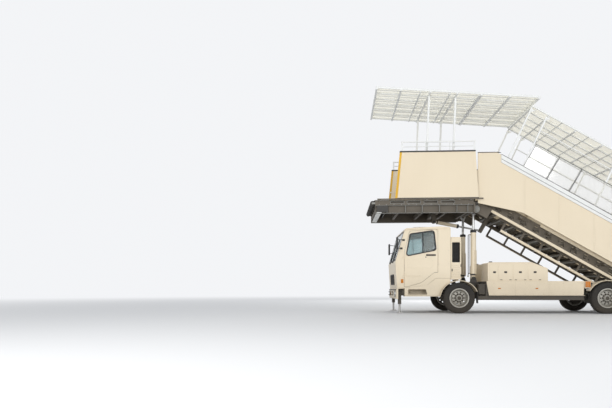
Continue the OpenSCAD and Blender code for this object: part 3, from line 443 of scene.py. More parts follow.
def lamp_glass(name, tone, second_tone, through):
    """A moulded lens: clear plastic of its colour, with a fine pattern of flutes in its bump."""
    material, tree, shader = new_material(name)
    tint = place_group(tree, mottle, First=colour(*tone), Second=colour(*second_tone), Scale=6.0)
    film = place_group(tree, grime, Low=0.1, High=1.2, Streaks=0.2, Amount=0.4)
    tree.links.new(mix_colour(tree, film.outputs["Mask"], tint.outputs["Color"], colour(110, 96, 74)),
                   shader.inputs["Base Color"])
    tree.links.new(math_node(tree, "MULTIPLY_ADD", film.outputs["Mask"], 0.4, 0.08),
                   shader.inputs["Roughness"])
    flutes = tree.nodes.new("ShaderNodeTexWave")
    flutes.inputs["Scale"].default_value = FLUTE_SCALE
    wire(tree, tree.nodes.new("ShaderNodeTexCoord"), "Object", flutes, "Vector")
    bump = tree.nodes.new("ShaderNodeBump")
    bump.inputs["Strength"].default_value = 0.4
    bump.inputs["Distance"].default_value = 0.002
    wire(tree, flutes, "Fac", bump, "Height")
    wire(tree, bump, 0, shader, "Normal")
    shader.inputs["Transmission Weight"].default_value = through
    shader.inputs["IOR"].default_value = LENS_IOR
    return material


tinted_glass = clear_pane()
milky_panel = canopy_panel("milky_panel", 0.60, 0.0, 0.36)
clear_sheet = canopy_panel("clear_sheet", 0.16, 0.6, 0.0)
amber_lens = lamp_glass("amber_lens", (236, 146, 32), (222, 128, 24), 0.3)
red_lens = lamp_glass("red_lens", (176, 28, 22), (150, 22, 20), 0.3)
clear_lens = lamp_glass("clear_lens", (236, 238, 240), (224, 227, 230), 0.7)

slot_finishes = {
    "frame_paint": dark_chassis, "body_paint": cream_paint, "grey_steel": galvanised,
    "white_frame": white_coat, "bare_steel": bright_steel, "tyre_rubber": tyre_black,
    "bumper_rubber": bumper_black, "cab_trim": trim_black, "window_glass": tinted_glass,
    "canopy_sheet": milky_panel, "lamp_lens": amber_lens, "rim_steel": rim_silver}
for name, node in nodes.items():
    slot_name = node.data.materials[0].name
    node.data.materials[0] = slot_finishes[slot_name]
# The platform's frame and both flights take the darker brownish steel instead of the galvanised one.
for name in ("platform_frame", "upper_flight", "lower_flight"):
    nodes[name].data.materials[0] = dark_brown_steel
print("finishes:", len(bpy.data.materials))

# %% [markdown]
# The rest of the pieces are drawn as a fitter would measure them: in millimetres, along
# and across the truck, from the front axle. One small class keeps the points and faces
# of a piece while its parts are added to it: chamfered blocks, rods, bent tubes, turned
# and extruded forms. It could be done with Blender's own primitives and a Bevel modifier
# on each, but hundreds of objects are slow to bevel, and a chamfer written into the
# points costs nothing and survives the export.

# %% Form tools
MM = 0.001
AXLE_X = 1.420
REAR_AXLE = -3500
PITCH = math.radians(30)
PIVOT_X, PIVOT_Z = -3950, 550
FORWARD, SIDEWAYS, UPWARD = (1, 0, 0), (0, 1, 0), (0, 0, 1)
truck = Matrix.Translation((AXLE_X, 0, 0)) @ Matrix.Scale(MM, 4)
slope = truck @ Matrix.Translation((PIVOT_X, 0, PIVOT_Z)) @ Matrix.Rotation(-PITCH, 4, "Y")


def around(count, shift=0.0):
    """Angles spread evenly round a circle."""
    return [math.tau * (i + shift) / count for i in range(count)]


def facing(origin, across, out, up):
    """A frame whose x runs across, y out of the surface and z up, from an origin on the truck."""
    axes = Matrix([Vector(across).normalized(), Vector(out).normalized(), Vector(up).normalized()])
    return truck @ Matrix.Translation(origin) @ axes.transposed().to_4x4()


def soften(points, bend, steps=5):
    """The same line with its corners bent round, as a tube bender leaves them."""
    points = [Vector(point) for point in points]
    line = [points[0]]
    for before, corner, after in zip(points, points[1:], points[2:]):
        start = corner + (before - corner).normalized() * min(bend, (before - corner).length * 0.48)
        end = corner + (after - corner).normalized() * min(bend, (after - corner).length * 0.48)
        for step in range(steps + 1):
            t = step / steps
            line.append(start * (1 - t) ** 2 + corner * 2 * t * (1 - t) + end * t ** 2)
    return line + [points[-1]]


def rounded(corners, steps=6):
    """A flat outline from corners of x, z and radius."""
    outline = []
    for index, (x, z, radius) in enumerate(corners):
        here = Vector((x, z))
        before = Vector(corners[index - 1][:2])
        after = Vector(corners[(index + 1) % len(corners)][:2])
        if radius == 0:
            outline.append(here)
            continue
        towards, onward = (before - here).normalized(), (after - here).normalized()
        half = towards.angle(onward) / 2
        centre = here + (towards + onward).normalized() * radius / math.sin(half)
        first = here + towards * radius / math.tan(half) - centre
        last = here + onward * radius / math.tan(half) - centre
        start = math.atan2(first.y, first.x)
        turn = (math.atan2(last.y, last.x) - start + 3 * math.pi) % (2 * math.pi) - math.pi
        for step in range(steps + 1):
            angle = start + turn * step / steps
            outline.append(centre + radius * Vector((math.cos(angle), math.sin(angle))))
    return outline


def grown(outline, distance):
    """The outline moved outwards by a distance."""
    area = sum(a[0] * b[1] - b[0] * a[1] for a, b in zip(outline, list(outline[1:]) + [outline[0]]))
    sign = 1 if area > 0 else -1
    moved = []
    for index, here in enumerate(outline):
        before = Vector(outline[index - 1])
        after = Vector(outline[(index + 1) % len(outline)])
        here = Vector(here)
        first, second = (here - before).normalized(), (after - here).normalized()
        out = Vector((first.y + second.y, -first.x - second.x)).normalized() * sign
        lean = max(0.5, out.dot(Vector((first.y, -first.x)) * sign))
        moved.append(here + out * distance / lean)
    return moved


class Form:
    """A piece in the making, measured in millimetres in the frame that place gives."""

    def __init__(self, place=truck):
        self.place = place
        self.points = []
        self.faces = []

    def add(self, points, faces):
        first = len(self.points)
        self.points += [self.place @ Vector(point) for point in points]
        self.faces += [tuple(first + index for index in face) for face in faces]

    def rings(self, rings, closed=False):
        count = len(rings[0])
        faces = []
        for row in range(len(rings) if closed else len(rings) - 1):
            here, there = row * count, (row + 1) % len(rings) * count
            for i in range(count):
                j = (i + 1) % count
                faces.append((here + i, here + j, there + j, there + i))
        if not closed:
            faces.append(tuple(reversed(range(count))))
            faces.append(tuple(range((len(rings) - 1) * count, len(rings) * count)))
        self.add([point for ring in rings for point in ring], faces)

    def block(self, low, high, arris=2.0):
        sizes = [abs(b - a) for a, b in zip(low, high)]
        cut = min(arris, min(sizes) * 0.3)
        index, points, faces = {}, [], []
        corners = [(a, b, c) for a in (0, 1) for b in (0, 1) for c in (0, 1)]
        for corner in corners:
            outer = [(low, high)[side][axis] for axis, side in enumerate(corner)]
            for axis in range(3):
                index[corner, axis] = len(points)
                points.append([outer[a] if a == axis else outer[a] + (cut, -cut)[corner[a]]
                               for a in range(3)])
        for axis in range(3):
            first, second = [a for a in range(3) if a != axis]

            def corner_at(side, u, v):
                corner = [0, 0, 0]
                corner[axis], corner[first], corner[second] = side, u, v
                return tuple(corner)
            for side in (0, 1):
                faces.append([index[corner_at(side, u, v), axis]
                              for u, v in ((0, 0), (1, 0), (1, 1), (0, 1))])
            for u, v in ((0, 0), (0, 1), (1, 0), (1, 1)):
                low_end, high_end = corner_at(0, u, v), corner_at(1, u, v)
                faces.append([index[low_end, first], index[high_end, first],
                              index[high_end, second], index[low_end, second]])
        faces += [[index[corner, axis] for axis in range(3)] for corner in corners]
        self.add(points, faces)

    def turned(self, origin, axis, profile, sides=24):
        """A solid of revolution from pairs of distance along the axis and radius."""
        axis = Vector(axis).normalized()
        first = axis.orthogonal().normalized()
        second = axis.cross(first)
        spots = [(math.cos(turn), math.sin(turn)) for turn in around(sides)]
        self.rings([[Vector(origin) + axis * along + (first * c + second * s) * max(radius, 0.3)
                     for c, s in spots] for along, radius in profile])

    def hoop(self, origin, axis, section, sides=48):
        """A ring whose section, pairs of distance along the axis and radius, is closed."""
        axis = Vector(axis).normalized()
        first = axis.orthogonal().normalized()
        second = axis.cross(first)
        rings = []
        for turn in around(sides):
            out = first * math.cos(turn) + second * math.sin(turn)
            rings.append([Vector(origin) + axis * along + out * radius for along, radius in section])
        self.rings(rings, closed=True)

    def rod(self, start, end, radius, sides=16, arris=1.5):
        length = (Vector(end) - Vector(start)).length
        cut = min(arris, radius * 0.4, length * 0.3)
        self.turned(start, Vector(end) - Vector(start), [
            (0, radius - cut), (cut, radius), (length - cut, radius), (length, radius - cut)], sides)

    def tube(self, line, radius, sides=12):
        """A round bar along a line of points."""
        line = [Vector(point) for point in line]
        ahead = (line[1] - line[0]).normalized()
        first = ahead.orthogonal().normalized()
        rings = []
        for index, here in enumerate(line):
            before, after = line[max(index - 1, 0)], line[min(index + 1, len(line) - 1)]
            ahead = (after - before).normalized()
            first = (first - ahead * first.dot(ahead)).normalized()
            second = ahead.cross(first)
            rings.append([here + (first * math.cos(turn) + second * math.sin(turn)) * radius
                          for turn in around(sides)])
        self.rings(rings)

    def prism(self, outline, low, high, along="y", arris=0.0):
        """A flat outline drawn out along an axis, with its arrises broken."""
        def ring(shape, depth):
            at = "xyz".index(along)
            return [(*point[:at], depth, *point[at:2]) for point in map(tuple, shape)]
        if arris:
            inner = grown(outline, -arris)
            self.rings([ring(inner, low), ring(outline, low + arris),
                        ring(outline, high - arris), ring(inner, high)])
        else:
            self.rings([ring(outline, low), ring(outline, high)])

    def band(self, outline, inner, outer, low, high):
        """A closed strip that follows an outline in x and z, between two offsets and two depths."""
        edges = [grown(outline, by) for by in (inner, inner + 2, outer - 2, outer)]
        rings = []
        for a, b, c, d in zip(*edges):
            rings.append([(a[0], low, a[1]), (d[0], low, d[1]), (d[0], high - 2, d[1]),
                          (c[0], high, c[1]), (b[0], high, b[1]), (a[0], high - 2, a[1])])
        self.rings(rings, closed=True)

    def cut_sheet(self, outlines, low, high):
        """A flat sheet in x and z with holes: the first outline is its edge, the others are cut out."""
        curve = bpy.data.curves.new("cutting", "CURVE")
        curve.dimensions = "2D"
        curve.fill_mode = "BOTH"
        curve.extrude = (high - low) / 2
        for outline in outlines:
            spline = curve.splines.new("POLY")
            spline.points.add(len(outline) - 1)
            for point, (x, z) in zip(spline.points, outline):
                point.co = (x, z, 0, 1)
            spline.use_cyclic_u = True
        helper = bpy.data.objects.new("cutting", curve)
        scene.collection.objects.link(helper)
        mesh = bpy.data.meshes.new_from_object(helper.evaluated_get(bpy.context.evaluated_depsgraph_get()))
        bpy.data.objects.remove(helper)
        work = bmesh.new()
        work.from_mesh(mesh)
        bmesh.ops.remove_doubles(work, verts=work.verts, dist=0.01)
        self.add([(v.co.x, (low + high) / 2 + v.co.z, v.co.y) for v in work.verts],
                 [[v.index for v in face.verts] for face in work.faces])
        work.free()

    def bolt(self, at, out, across=17.0, height=None, washer=True):
        """A hexagon head on its washer; across is the spanner size."""
        height = height or across * 0.55
        up = 0.0
        if washer:
            up = across * 0.12
            self.turned(at, out, [(-1, across * 0.98), (up * 0.8, across * 0.98), (up, across * 0.9)], 14)
        base = Vector(at) + Vector(out).normalized() * up
        radius = across / 1.732
        self.turned(base, out, [(-0.5, radius), (height * 0.85, radius), (height, radius * 0.86)], 6)

    def bolt_ring(self, centre, radius, count, out, across, **options):
        """Bolts in a circle round an axis along the truck or across it."""
        x, y, z = centre
        for turn in around(count):
            level, rise = radius * math.cos(turn), radius * math.sin(turn)
            spot = (x, y + level, z + rise) if out[0] else (x + level, y, z + rise)
            self.bolt(spot, out, across, **options)

    def mirror_over(self):
        """Copies what there is so far to the truck's other side."""
        count = len(self.points)
        self.points += [Vector((point.x, -point.y, point.z)) for point in self.points]
        self.faces += [tuple(count + index for index in face) for face in self.faces]

    def done(self, name, body, slot, material=None):
        """Makes the piece, in its slot's usual finish or in one of its own."""
        mesh = bpy.data.meshes.new(name)
        mesh.from_pydata(self.points, [], self.faces)
        work = bmesh.new()
        work.from_mesh(mesh)
        bmesh.ops.recalc_face_normals(work, faces=work.faces)
        work.to_mesh(mesh)
        work.free()
        mesh.shade_smooth()
        mesh.set_sharp_from_angle(angle=math.radians(35))
        mesh.materials.append(material or slot_finishes[slot])
        piece = bpy.data.objects.new(name, mesh)
        scene.collection.objects.link(piece)
        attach(piece, body)
        print(name, "faces:", len(mesh.polygons))
        return piece


def on_both(name, body, slot, draw, material=None):
    """Draws a piece on the left body of a pair and its mirror image on the right one."""
    for side, sign in (("left", 1), ("right", -1)):
        form = Form(truck @ Matrix.Diagonal((1, sign, 1, 1)))
        draw(form)
        form.done(name + "_" + side, body + "_" + side, slot, material)


print("frames: truck and slope, in millimetres")

# %% [markdown]
# A truck tyre is a smooth carcass with rubber blocks round it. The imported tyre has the
# right outline but a plain tread, so a new tyre stands in for it inside the same outline:
# a section with a bead, fine rings on its sidewall and a groove bottom, spun round the
# axle, and then rows of tread blocks set on it one by one, so the edge of the tyre
# is broken as a real one is. A bump texture would leave that silhouette round.

# %% Tyres
WHEEL_RADIUS = 377
WHEEL_Y = 945
TREAD_BASE = 367
TREAD_PITCHES = 54
SIDE_RIBS = 72
RIB_INNER, RIB_OUTER = (340, 96.5), (356, 90.5)  # radius and distance across
wheels = {"front_left": (0, 1), "front_right": (0, -1),
          "rear_left": (REAR_AXLE, 1), "rear_right": (REAR_AXLE, -1)}
sidewall = [(74.8, 222), (78, 231), (76, 240), (87, 249), (93.5, 262), (98.5, 282), (100.4, 297),
            (102.3, 298.5), (102.3, 302), (100.6, 303.5), (100.4, 324), (101.8, 325.5), (101.8, 329),
            (99.6, 330.5), (96, 346), (90, 358), (83, 365), (60, TREAD_BASE), (0, TREAD_BASE + 0.5)]
tyre_section = sidewall + [(-h, r) for h, r in reversed(sidewall[:-1])]
tread_rows = [  # from and to across the tyre, share of the pitch, shift of the far edge, top radius
    (56, 85, 0.62, 0.10, 375.5), (27, 50, 0.78, 0.22, 377), (-11, 11, 0.80, 0.0, 377),
    (-50, -27, 0.78, -0.22, 377), (-85, -56, 0.62, -0.10, 375.5)]


def wheel_place(x, sign):
    return truck @ Matrix.Translation((x, sign * WHEEL_Y, WHEEL_RADIUS)) @ Matrix.Diagonal((1, sign, 1, 1))


def tread(form):
    step = math.tau / TREAD_PITCHES
    for row, (low, high, share, shift, top) in enumerate(tread_rows):
        for pitch in range(TREAD_PITCHES):
            angle = (pitch + 0.5 * (row % 2)) * step
            points = []
            for radius in (TREAD_BASE - 2, top):
                pull = 1.5 if radius == top else 0.0
                for across, moved in ((low + pull, 0), (high - pull, shift)):
                    for edge in (-share / 2, share / 2):
                        turn = angle + (edge + moved) * step
                        points.append((radius * math.sin(turn), across, radius * math.cos(turn)))
            form.add(points, [(0, 1, 3, 2), (4, 6, 7, 5), (0, 4, 5, 1),
                              (2, 3, 7, 6), (0, 2, 6, 4), (1, 5, 7, 3)])


for wheel, (wheel_x, sign) in wheels.items():
    form = Form(wheel_place(wheel_x, sign))
    form.hoop((0, 0, 0), SIDEWAYS, tyre_section, 96)
    tread(form)
    for turn in around(SIDE_RIBS):
        low, high = [(radius * math.sin(turn), across, radius * math.cos(turn))
                     for radius, across in (RIB_INNER, RIB_OUTER)]
        form.rod(low, high, 1.6, 5, 0.4)
    tyre = form.done("treaded_tyre_" + wheel, "wheel_" + wheel, "tyre_rubber")
    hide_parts("tyre_" + wheel)

# %% [markdown]
# On the disc sit ten nuts in a ring, a dark grease cap in the middle and a valve that
# comes up through a hand hole. A split ring holds the tyre on its rim. All of these are
# turned or hexagonal. The dark ones make one piece and the silver ones another.

# %% Wheel fittings
NUT_CIRCLE = 97
NUTS = 10
for wheel, (wheel_x, sign) in wheels.items():
    form = Form(wheel_place(wheel_x, sign))
    for turn in around(NUTS, 0.5):
        spot = (NUT_CIRCLE * math.sin(turn), 36.5, NUT_CIRCLE * math.cos(turn))
        form.bolt(spot, SIDEWAYS, 27, 18)
        form.rod((spot[0], 50, spot[2]), (spot[0], 66, spot[2]), 8, 10)
    form.turned((0, 73, 0), SIDEWAYS,
                [(0, 44), (5, 44), (6, 40), (12, 37), (17, 28), (19, 14), (19.5, 1)], 32)
    form.bolt_ring((0, 74, 0), 49.5, 8, SIDEWAYS, 9, height=5, washer=False)
    form.done("wheel_nuts_" + wheel, "wheel_" + wheel, "frame_paint")
    form = Form(wheel_place(wheel_x, sign))
    form.hoop((0, 0, 0), SIDEWAYS,
              [(76, 223), (76, 210), (84, 208), (88, 214), (89, 224), (86, 236), (80, 237)], 64)
    form.hoop((0, 0, 0), SIDEWAYS, [(-14, 207), (-14, 199), (-10, 196), (-6, 199), (-6, 207)], 64)
    form.tube(soften([(0, -4, 190), (0, 40, 196), (0, 70, 186)], 20), 4, 8)
    form.rod((0, 69, 186.2), (0, 82, 182), 5.5, 8)
    form.done("rim_ring_" + wheel, "wheel_" + wheel, "rim_steel")

# %% [markdown]
# The cab's panes sit in black rubber: a strip that hooks over the sheet's edge and over
# the glass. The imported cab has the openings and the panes, so each seal is one closed
# band that follows the opening's outline and laps a little over both. The outline is
# written out again from the same corners, which keeps the strip in the corners' bends.

# %% Cab seals
CAB_SIDE = 980
CAB_REAR = 200
door_window = rounded([(552, 1552, 60), (1275, 1408, 50), (1182, 1947, 50), (604, 2028, 60)])


def door_seal(form):
    form.band(door_window, -15, 15, CAB_SIDE - 15, CAB_SIDE + 7)
    form.block((860, CAB_SIDE - 15, 1490), (880, CAB_SIDE + 2, 1990))
    form.block((838, CAB_SIDE - 15, 1660), (856, CAB_SIDE - 5, 1720), 3)
    form.block((576, CAB_SIDE - 1, 1415), (776, CAB_SIDE + 23, 1444), 8)
    form.block((560, CAB_SIDE - 1, 1408), (792, CAB_SIDE + 3, 1451), 2)
    form.turned((800, CAB_SIDE - 1, 1380), SIDEWAYS, [(0, 13), (4, 13), (5, 10)], 20)


on_both("door_rubber", "door", "cab_trim", door_seal)
form = Form(facing((1540, 0, 1262), SIDEWAYS, (828, 0, 240), (-240, 0, 828)))
screen = rounded([(-860, 50, 45), (860, 50, 45), (860, 779, 45), (-860, 779, 45)])
form.band(screen, -20, 16, -12, 6)
for y in (-420, 330):
    form.turned((y, -2, 12), SIDEWAYS, [(0, 17), (12, 17), (18, 12), (22, 6)], 20)
    form.tube([(y, 16, 12), (y + 30, 20, 190), (y + 60, 14, 330)], 6, 8)
    form.block((y + 40, 8, 60), (y + 52, 20, 620), 2)
    form.block((y + 43, 1, 55), (y + 49, 9, 625), 1)
form.place = facing((CAB_REAR, 0, 0), SIDEWAYS, (-1, 0, 0), UPWARD)
form.band(rounded([(-600, 1500, 50), (600, 1500, 50), (600, 1950, 50), (-600, 1950, 50)]), -16, 14, -10, 6)
form.done("screen_rubbers", "chassis", "cab_trim")

# %% [markdown]
# A pressed door is not a flat plate: it has a raised panel at the waist and a rubbing
# strip low down, and its opening has a rain gutter above it. These are a few millimetres
# high, yet they catch the light along their whole length, so they are drawn as solids
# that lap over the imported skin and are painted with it.

# %% Door and cab pressings
def door_pressing(form):
    form.prism(rounded([(640, 1110, 60), (1245, 1110, 60), (1245, 1335, 50), (640, 1335, 50)]),
               CAB_SIDE - 2, CAB_SIDE + 2, arris=2)
    form.block((930, CAB_SIDE - 1, 900), (1270, CAB_SIDE + 5, 925), 3)


on_both("door_pressing", "door", "body_paint", door_pressing)
form = Form()
gutter = soften([(300, 986, 2066), (1060, 986, 2066), (1300, 986, 2046), (1318, 986, 2010)], 60)
form.tube(gutter, 6, 8)
form.block((230, CAB_SIDE - 1, 1180), (490, CAB_SIDE + 3, 1560), 2)
for z in (1210, 1530):
    for x in (250, 470):
        form.bolt((x, CAB_SIDE + 3, z), SIDEWAYS, 8, 4)
form.block((1346, CAB_SIDE - 1, 640), (1500, CAB_SIDE + 4, 720), 2)
form.mirror_over()
for y in range(-800, 801, 200):
    form.block((420, y - 20, 2128), (1080, y + 20, 2134), 2)
form.block((600, -330, 2128), (1000, 330, 2140), 5)
form.done("cab_pressings", "chassis", "body_paint")

# %% [markdown]
# The nose of the cab carries a black air grille, two round lamps under the bumper line
# with indicators beside them, and a stiff rubber strip on the apron. A lamp is a chrome
# ring round a bowl with a clear ribbed lens over it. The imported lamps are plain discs, so
# the lenses and rings stand in for them at the same places.

# %% Grille and lamps
LAMP_Y, LAMP_Z = 700, 480
MARKER_Y = 545


def nose_x(z):
    return 1500 + 40 * (z - 600) / 662


NOSE_LEAN = (662, 0, -40)
form = Form(facing((nose_x(838), 0, 838), SIDEWAYS, NOSE_LEAN, (40, 0, 662)))
form.band(rounded([(-440, -130, 30), (440, -130, 30), (440, 130, 30), (-440, 130, 30)]), -22, 4, -2, 16)
form.block((-425, -2, -120), (425, 2, 120), 1)
for z in range(-102, 91, 32):
    form.block((-420, 1, z), (420, 12, z + 12), 3)
for y in (-210, 0, 210):
    form.block((y - 5, 1, -118), (y + 5, 14, 118), 2)
form.place = truck
form.block((1514, -930, 566), (1524, 930, 592), 4)
for side in (1, -1):
    form.block((1514, side * MARKER_Y - 45, 440), (1522, side * MARKER_Y + 45, 520), 4)
form.done("nose_grille", "chassis", "cab_trim")

form = Form()
for side in (1, -1):
    spot = (1515, side * LAMP_Y, LAMP_Z)
    form.hoop(spot, FORWARD, [(0, 66), (0, 80), (18, 80), (25, 76), (26, 70), (20, 66)], 40)
    form.turned(spot, FORWARD, [(0, 66), (2, 66), (1.5, 40), (1, 8)], 32)
    form.turned((1516, side * LAMP_Y, LAMP_Z), FORWARD, [(0, 14), (8, 12), (12, 8)], 16)
form.done("lamp_rings", "chassis", "bare_steel")
form = Form()
for side in (1, -1):
    form.turned((1533, side * LAMP_Y, LAMP_Z), FORWARD,
                [(0, 67), (3, 67), (7, 52), (9, 30), (10, 4)], 40)
lens = form.done("head_lamps", "chassis", "lamp_lens", clear_lens)
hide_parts("lamps")
form = Form()
for side in (1, -1):
    left, right = side * MARKER_Y - 38, side * MARKER_Y + 38
    form.prism(rounded([(left, 447, 12), (right, 447, 12), (right, 513, 12), (left, 513, 12)]),
               1521, 1534, along="x", arris=4)
form.block((-3110, 1000, 640), (-2990, 1016, 780), 4)
form.block((1345, CAB_SIDE, 745), (1405, CAB_SIDE + 12, 840), 4)
form.block((-1890, 976, 600), (-1830, 990, 624), 4)
form.block((-1000, 976, 600), (-940, 990, 624), 4)
form.mirror_over()
form.done("amber_markers", "chassis", "lamp_lens")

# %% [markdown]
# Each mirror is a deep moulded shell with a silvered glass set into its rear face. It
# hangs on two bent tubes that start at a foot on the door pillar. The shell's rounded
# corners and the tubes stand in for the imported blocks, at the same size and place.

# %% Mirrors
form = Form()
head_outline = rounded([(1041, 1552, 26), (1179, 1552, 26), (1179, 1863, 26), (1041, 1863, 26)])
form.prism(head_outline, 1491, 1530, along="x", arris=9)
form.tube(soften([(1400, 984, 1595), (1500, 990, 1595), (1510, 1030, 1595), (1510, 1050, 1600)], 22), 8)
form.tube(soften([(1345, 984, 1800), (1480, 992, 1815), (1508, 1030, 1822), (1510, 1050, 1820)], 22), 8)
form.rod((1510, 1032, 1565), (1510, 1032, 1850), 9)
for x, z in ((1395, 1595), (1340, 1800)):
    form.block((x - 30, CAB_SIDE, z - 24), (x + 30, CAB_SIDE + 6, z + 24), 3)
    form.bolt((x - 16, CAB_SIDE + 6, z), SIDEWAYS, 10)
    form.bolt((x + 18, CAB_SIDE + 6, z - 12), SIDEWAYS, 10)
form.mirror_over()
shell = form.done("mirror_shells", "chassis", "cab_trim")
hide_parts("mirrors")
form = Form()
form.prism(grown(head_outline, -13), 1489, 1492.5, along="x", arris=1)
form.mirror_over()
form.done("mirror_glass", "chassis", "bare_steel", mirror_silver)

# %% [markdown]
# Through the door windows one sees two seats, a dashboard and the steering wheel. A seat
# is foam under cloth: it swells between its seams and its corners are soft. Each pad
# starts as a fine grid over a box whose points are pushed out to a rounded box, crowned
# in the middle and drawn in along two sewn lines. The dashboard is an extruded moulding.

# %% Cab interior
def pad(name, place, half, crown, lines):
    """A stuffed pad about the origin of its place, with lines sewn across at shares of its length."""
    work = bmesh.new()
    bmesh.ops.create_cube(work, size=2.0)
    bmesh.ops.subdivide_edges(work, edges=work.edges, cuts=17, use_grid_fill=True)
    for vertex in work.verts:
        u, v, w = vertex.co
        fat = (abs(u) ** 7 + abs(v) ** 7 + abs(w) ** 7) ** (-1 / 7)
        swell = (1 - min(u * u, 1)) * (1 - min(v * v, 1))
        pinch = sum(math.exp(-((u - line) / 0.045) ** 2) for line in lines)
        pull = 1 - 0.05 * (1 - min(v * v, 1)) * abs(u) ** 3
        z = w * fat * half[2] + (crown * swell - 9 * pinch * (0.4 + swell)) * (1 if w > 0 else -0.25)
        point = Vector((u * fat * half[0] * pull, v * fat * half[1], z))
        vertex.co = place @ point
    bmesh.ops.recalc_face_normals(work, faces=work.faces)
    mesh = bpy.data.meshes.new(name)
    work.to_mesh(mesh)
    work.free()
    mesh.shade_smooth()
    mesh.materials.append(seat_cloth)
    piece = bpy.data.objects.new(name, mesh)
    scene.collection.objects.link(piece)
    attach(piece, "chassis")
    return piece


SEAT_Y = 430
SEAT_TILT = math.radians(-8)
upright = Matrix.Rotation(SEAT_TILT + math.radians(90), 4, "Y")
for side, seat_y in (("driver", SEAT_Y), ("mate", -SEAT_Y)):
    pad("seat_cushion_" + side, truck @ Matrix.Translation((585, seat_y, 1112)),
        (240, 232, 58), 14, (-0.45, 0.3))
    pad("seat_back_" + side, truck @ Matrix.Translation((358, seat_y, 1455)) @ upright,
        (290, 225, 52), 12, (-0.35, 0.35))
    pad("head_rest_" + side, truck @ Matrix.Translation((306, seat_y, 1845)) @ upright,
        (70, 120, 38), 8, ())
form = Form()
form.prism(rounded([(1464, 905, 0), (1464, 1262, 30), (1330, 1240, 40), (1290, 1130, 40), (1376, 905, 20)]),
           -898, 898, arris=5)
form.prism(rounded([(1440, 1245, 20), (1330, 1236, 10), (1300, 1290, 16), (1360, 1318, 30)]),
           230, 630, arris=6)
COLUMN_TILT = math.radians(60)
WHEEL_RIM, WHEEL_TUBE = 190, 14
wheel_axis = (-math.sin(COLUMN_TILT), 0, 0.5)
wheel_up = Vector((0.5, 0, math.sin(COLUMN_TILT)))
form.rod((1335, SEAT_Y, 1170), (1200, SEAT_Y, 1248), 24)
form.hoop((1175, SEAT_Y, 1262), wheel_axis,
          [(WHEEL_TUBE * math.cos(a), WHEEL_RIM + WHEEL_TUBE * math.sin(a)) for a in around(12)], 48)
form.turned((1182, SEAT_Y, 1258), wheel_axis, [(0, 42), (10, 44), (20, 38), (25, 20)], 24)
for turn in (90, 210, 330):
    out = Vector(SIDEWAYS) * math.cos(math.radians(turn)) + wheel_up * math.sin(math.radians(turn))
    hub = Vector((1172, SEAT_Y, 1264))
    form.rod(hub + out * 30, hub + out * 186, 9, 10)
for seat_y in (SEAT_Y, -SEAT_Y):
    form.block((345, seat_y - 190, 892), (760, seat_y + 190, 925), 6)
    for x in (380, 520):
        form.block((x, seat_y - 170, 920), (x + 60, seat_y + 170, 1052), 6)
    form.block((330, seat_y - 60, 1030), (352, seat_y + 60, 1180), 4)
    for y in (-50, 50):
        form.rod((318, seat_y + y, 1700), (306, seat_y + y, 1800), 6, 10)
form.tube(soften([(900, 40, 632), (900, 40, 1000), (860, 40, 1150)], 80), 9)
form.turned((860, 40, 1150), (-0.2, 0, 1), [(-20, 8), (-6, 22), (14, 24), (28, 14), (30, 2)], 20)
for y in (330, 430, 540):
    form.block((1330, y - 30, 690), (1346, y + 30, 760), 4)
    form.rod((1338, y, 700), (1440, y, 860), 7, 8)
inside = form.done("cab_fittings", "chassis", "cab_trim")
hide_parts("cab_interior")

# %% [markdown]
# The platform's side guard is a flat steel-framed board. A dark capping runs along its
# top, a yellow band marks its slanted front edge, and a white tube rail stands over it.
# The board slides forward, so everything on it rides on the guard's own body. The cap
# and band are strips that lap over the board's edges; the mirror image makes the other.

# %% Guards of the platform
FLOOR_Z = 2790
GUARD_IN = 1075
GUARD_OUT = 1100
GUARD_LOW = 2806
GUARD_TOP = 3940
RAIL_FRONT, RAIL_BACK = 1390, -350
RAIL_Y = 1087
RAIL_Z, MID_RAIL_Z = 4175, 4062


def yellow_band(form):
    form.prism([(1500, GUARD_LOW + 4), (1558, GUARD_LOW + 4),
                (1443, GUARD_TOP - 14), (1392, GUARD_TOP - 14)], GUARD_IN - 2, GUARD_OUT + 2)


def dark_cap(form):
    form.prism(rounded([(-374, GUARD_TOP - 16, 6), (1448, GUARD_TOP - 16, 6), (1448, GUARD_TOP + 17, 12),
                        (-374, GUARD_TOP + 17, 12)]), GUARD_IN - 12, GUARD_OUT + 12, arris=4)
    form.prism([(-452, GUARD_LOW - 2), (1562, GUARD_LOW - 2), (1557, GUARD_LOW + 12), (-451, GUARD_LOW + 12)],
               GUARD_IN - 1.5, GUARD_OUT + 1.5)


def guard_frame(form):
    """The ribs on the walkway's side, with a bar across them."""
    for x, lean in ((-300, 0.04), (180, 0.0), (660, -0.03), (1140, -0.06)):
        top = x + lean * 1000
        form.prism([(x, GUARD_LOW + 20), (x + 40, GUARD_LOW + 20), (top + 40, GUARD_TOP - 20),
                    (top, GUARD_TOP - 20)], GUARD_IN - 9, GUARD_IN)
    form.prism([(-430, 3300), (1490, 3300), (1487, 3340), (-428, 3340)], GUARD_IN - 9, GUARD_IN)


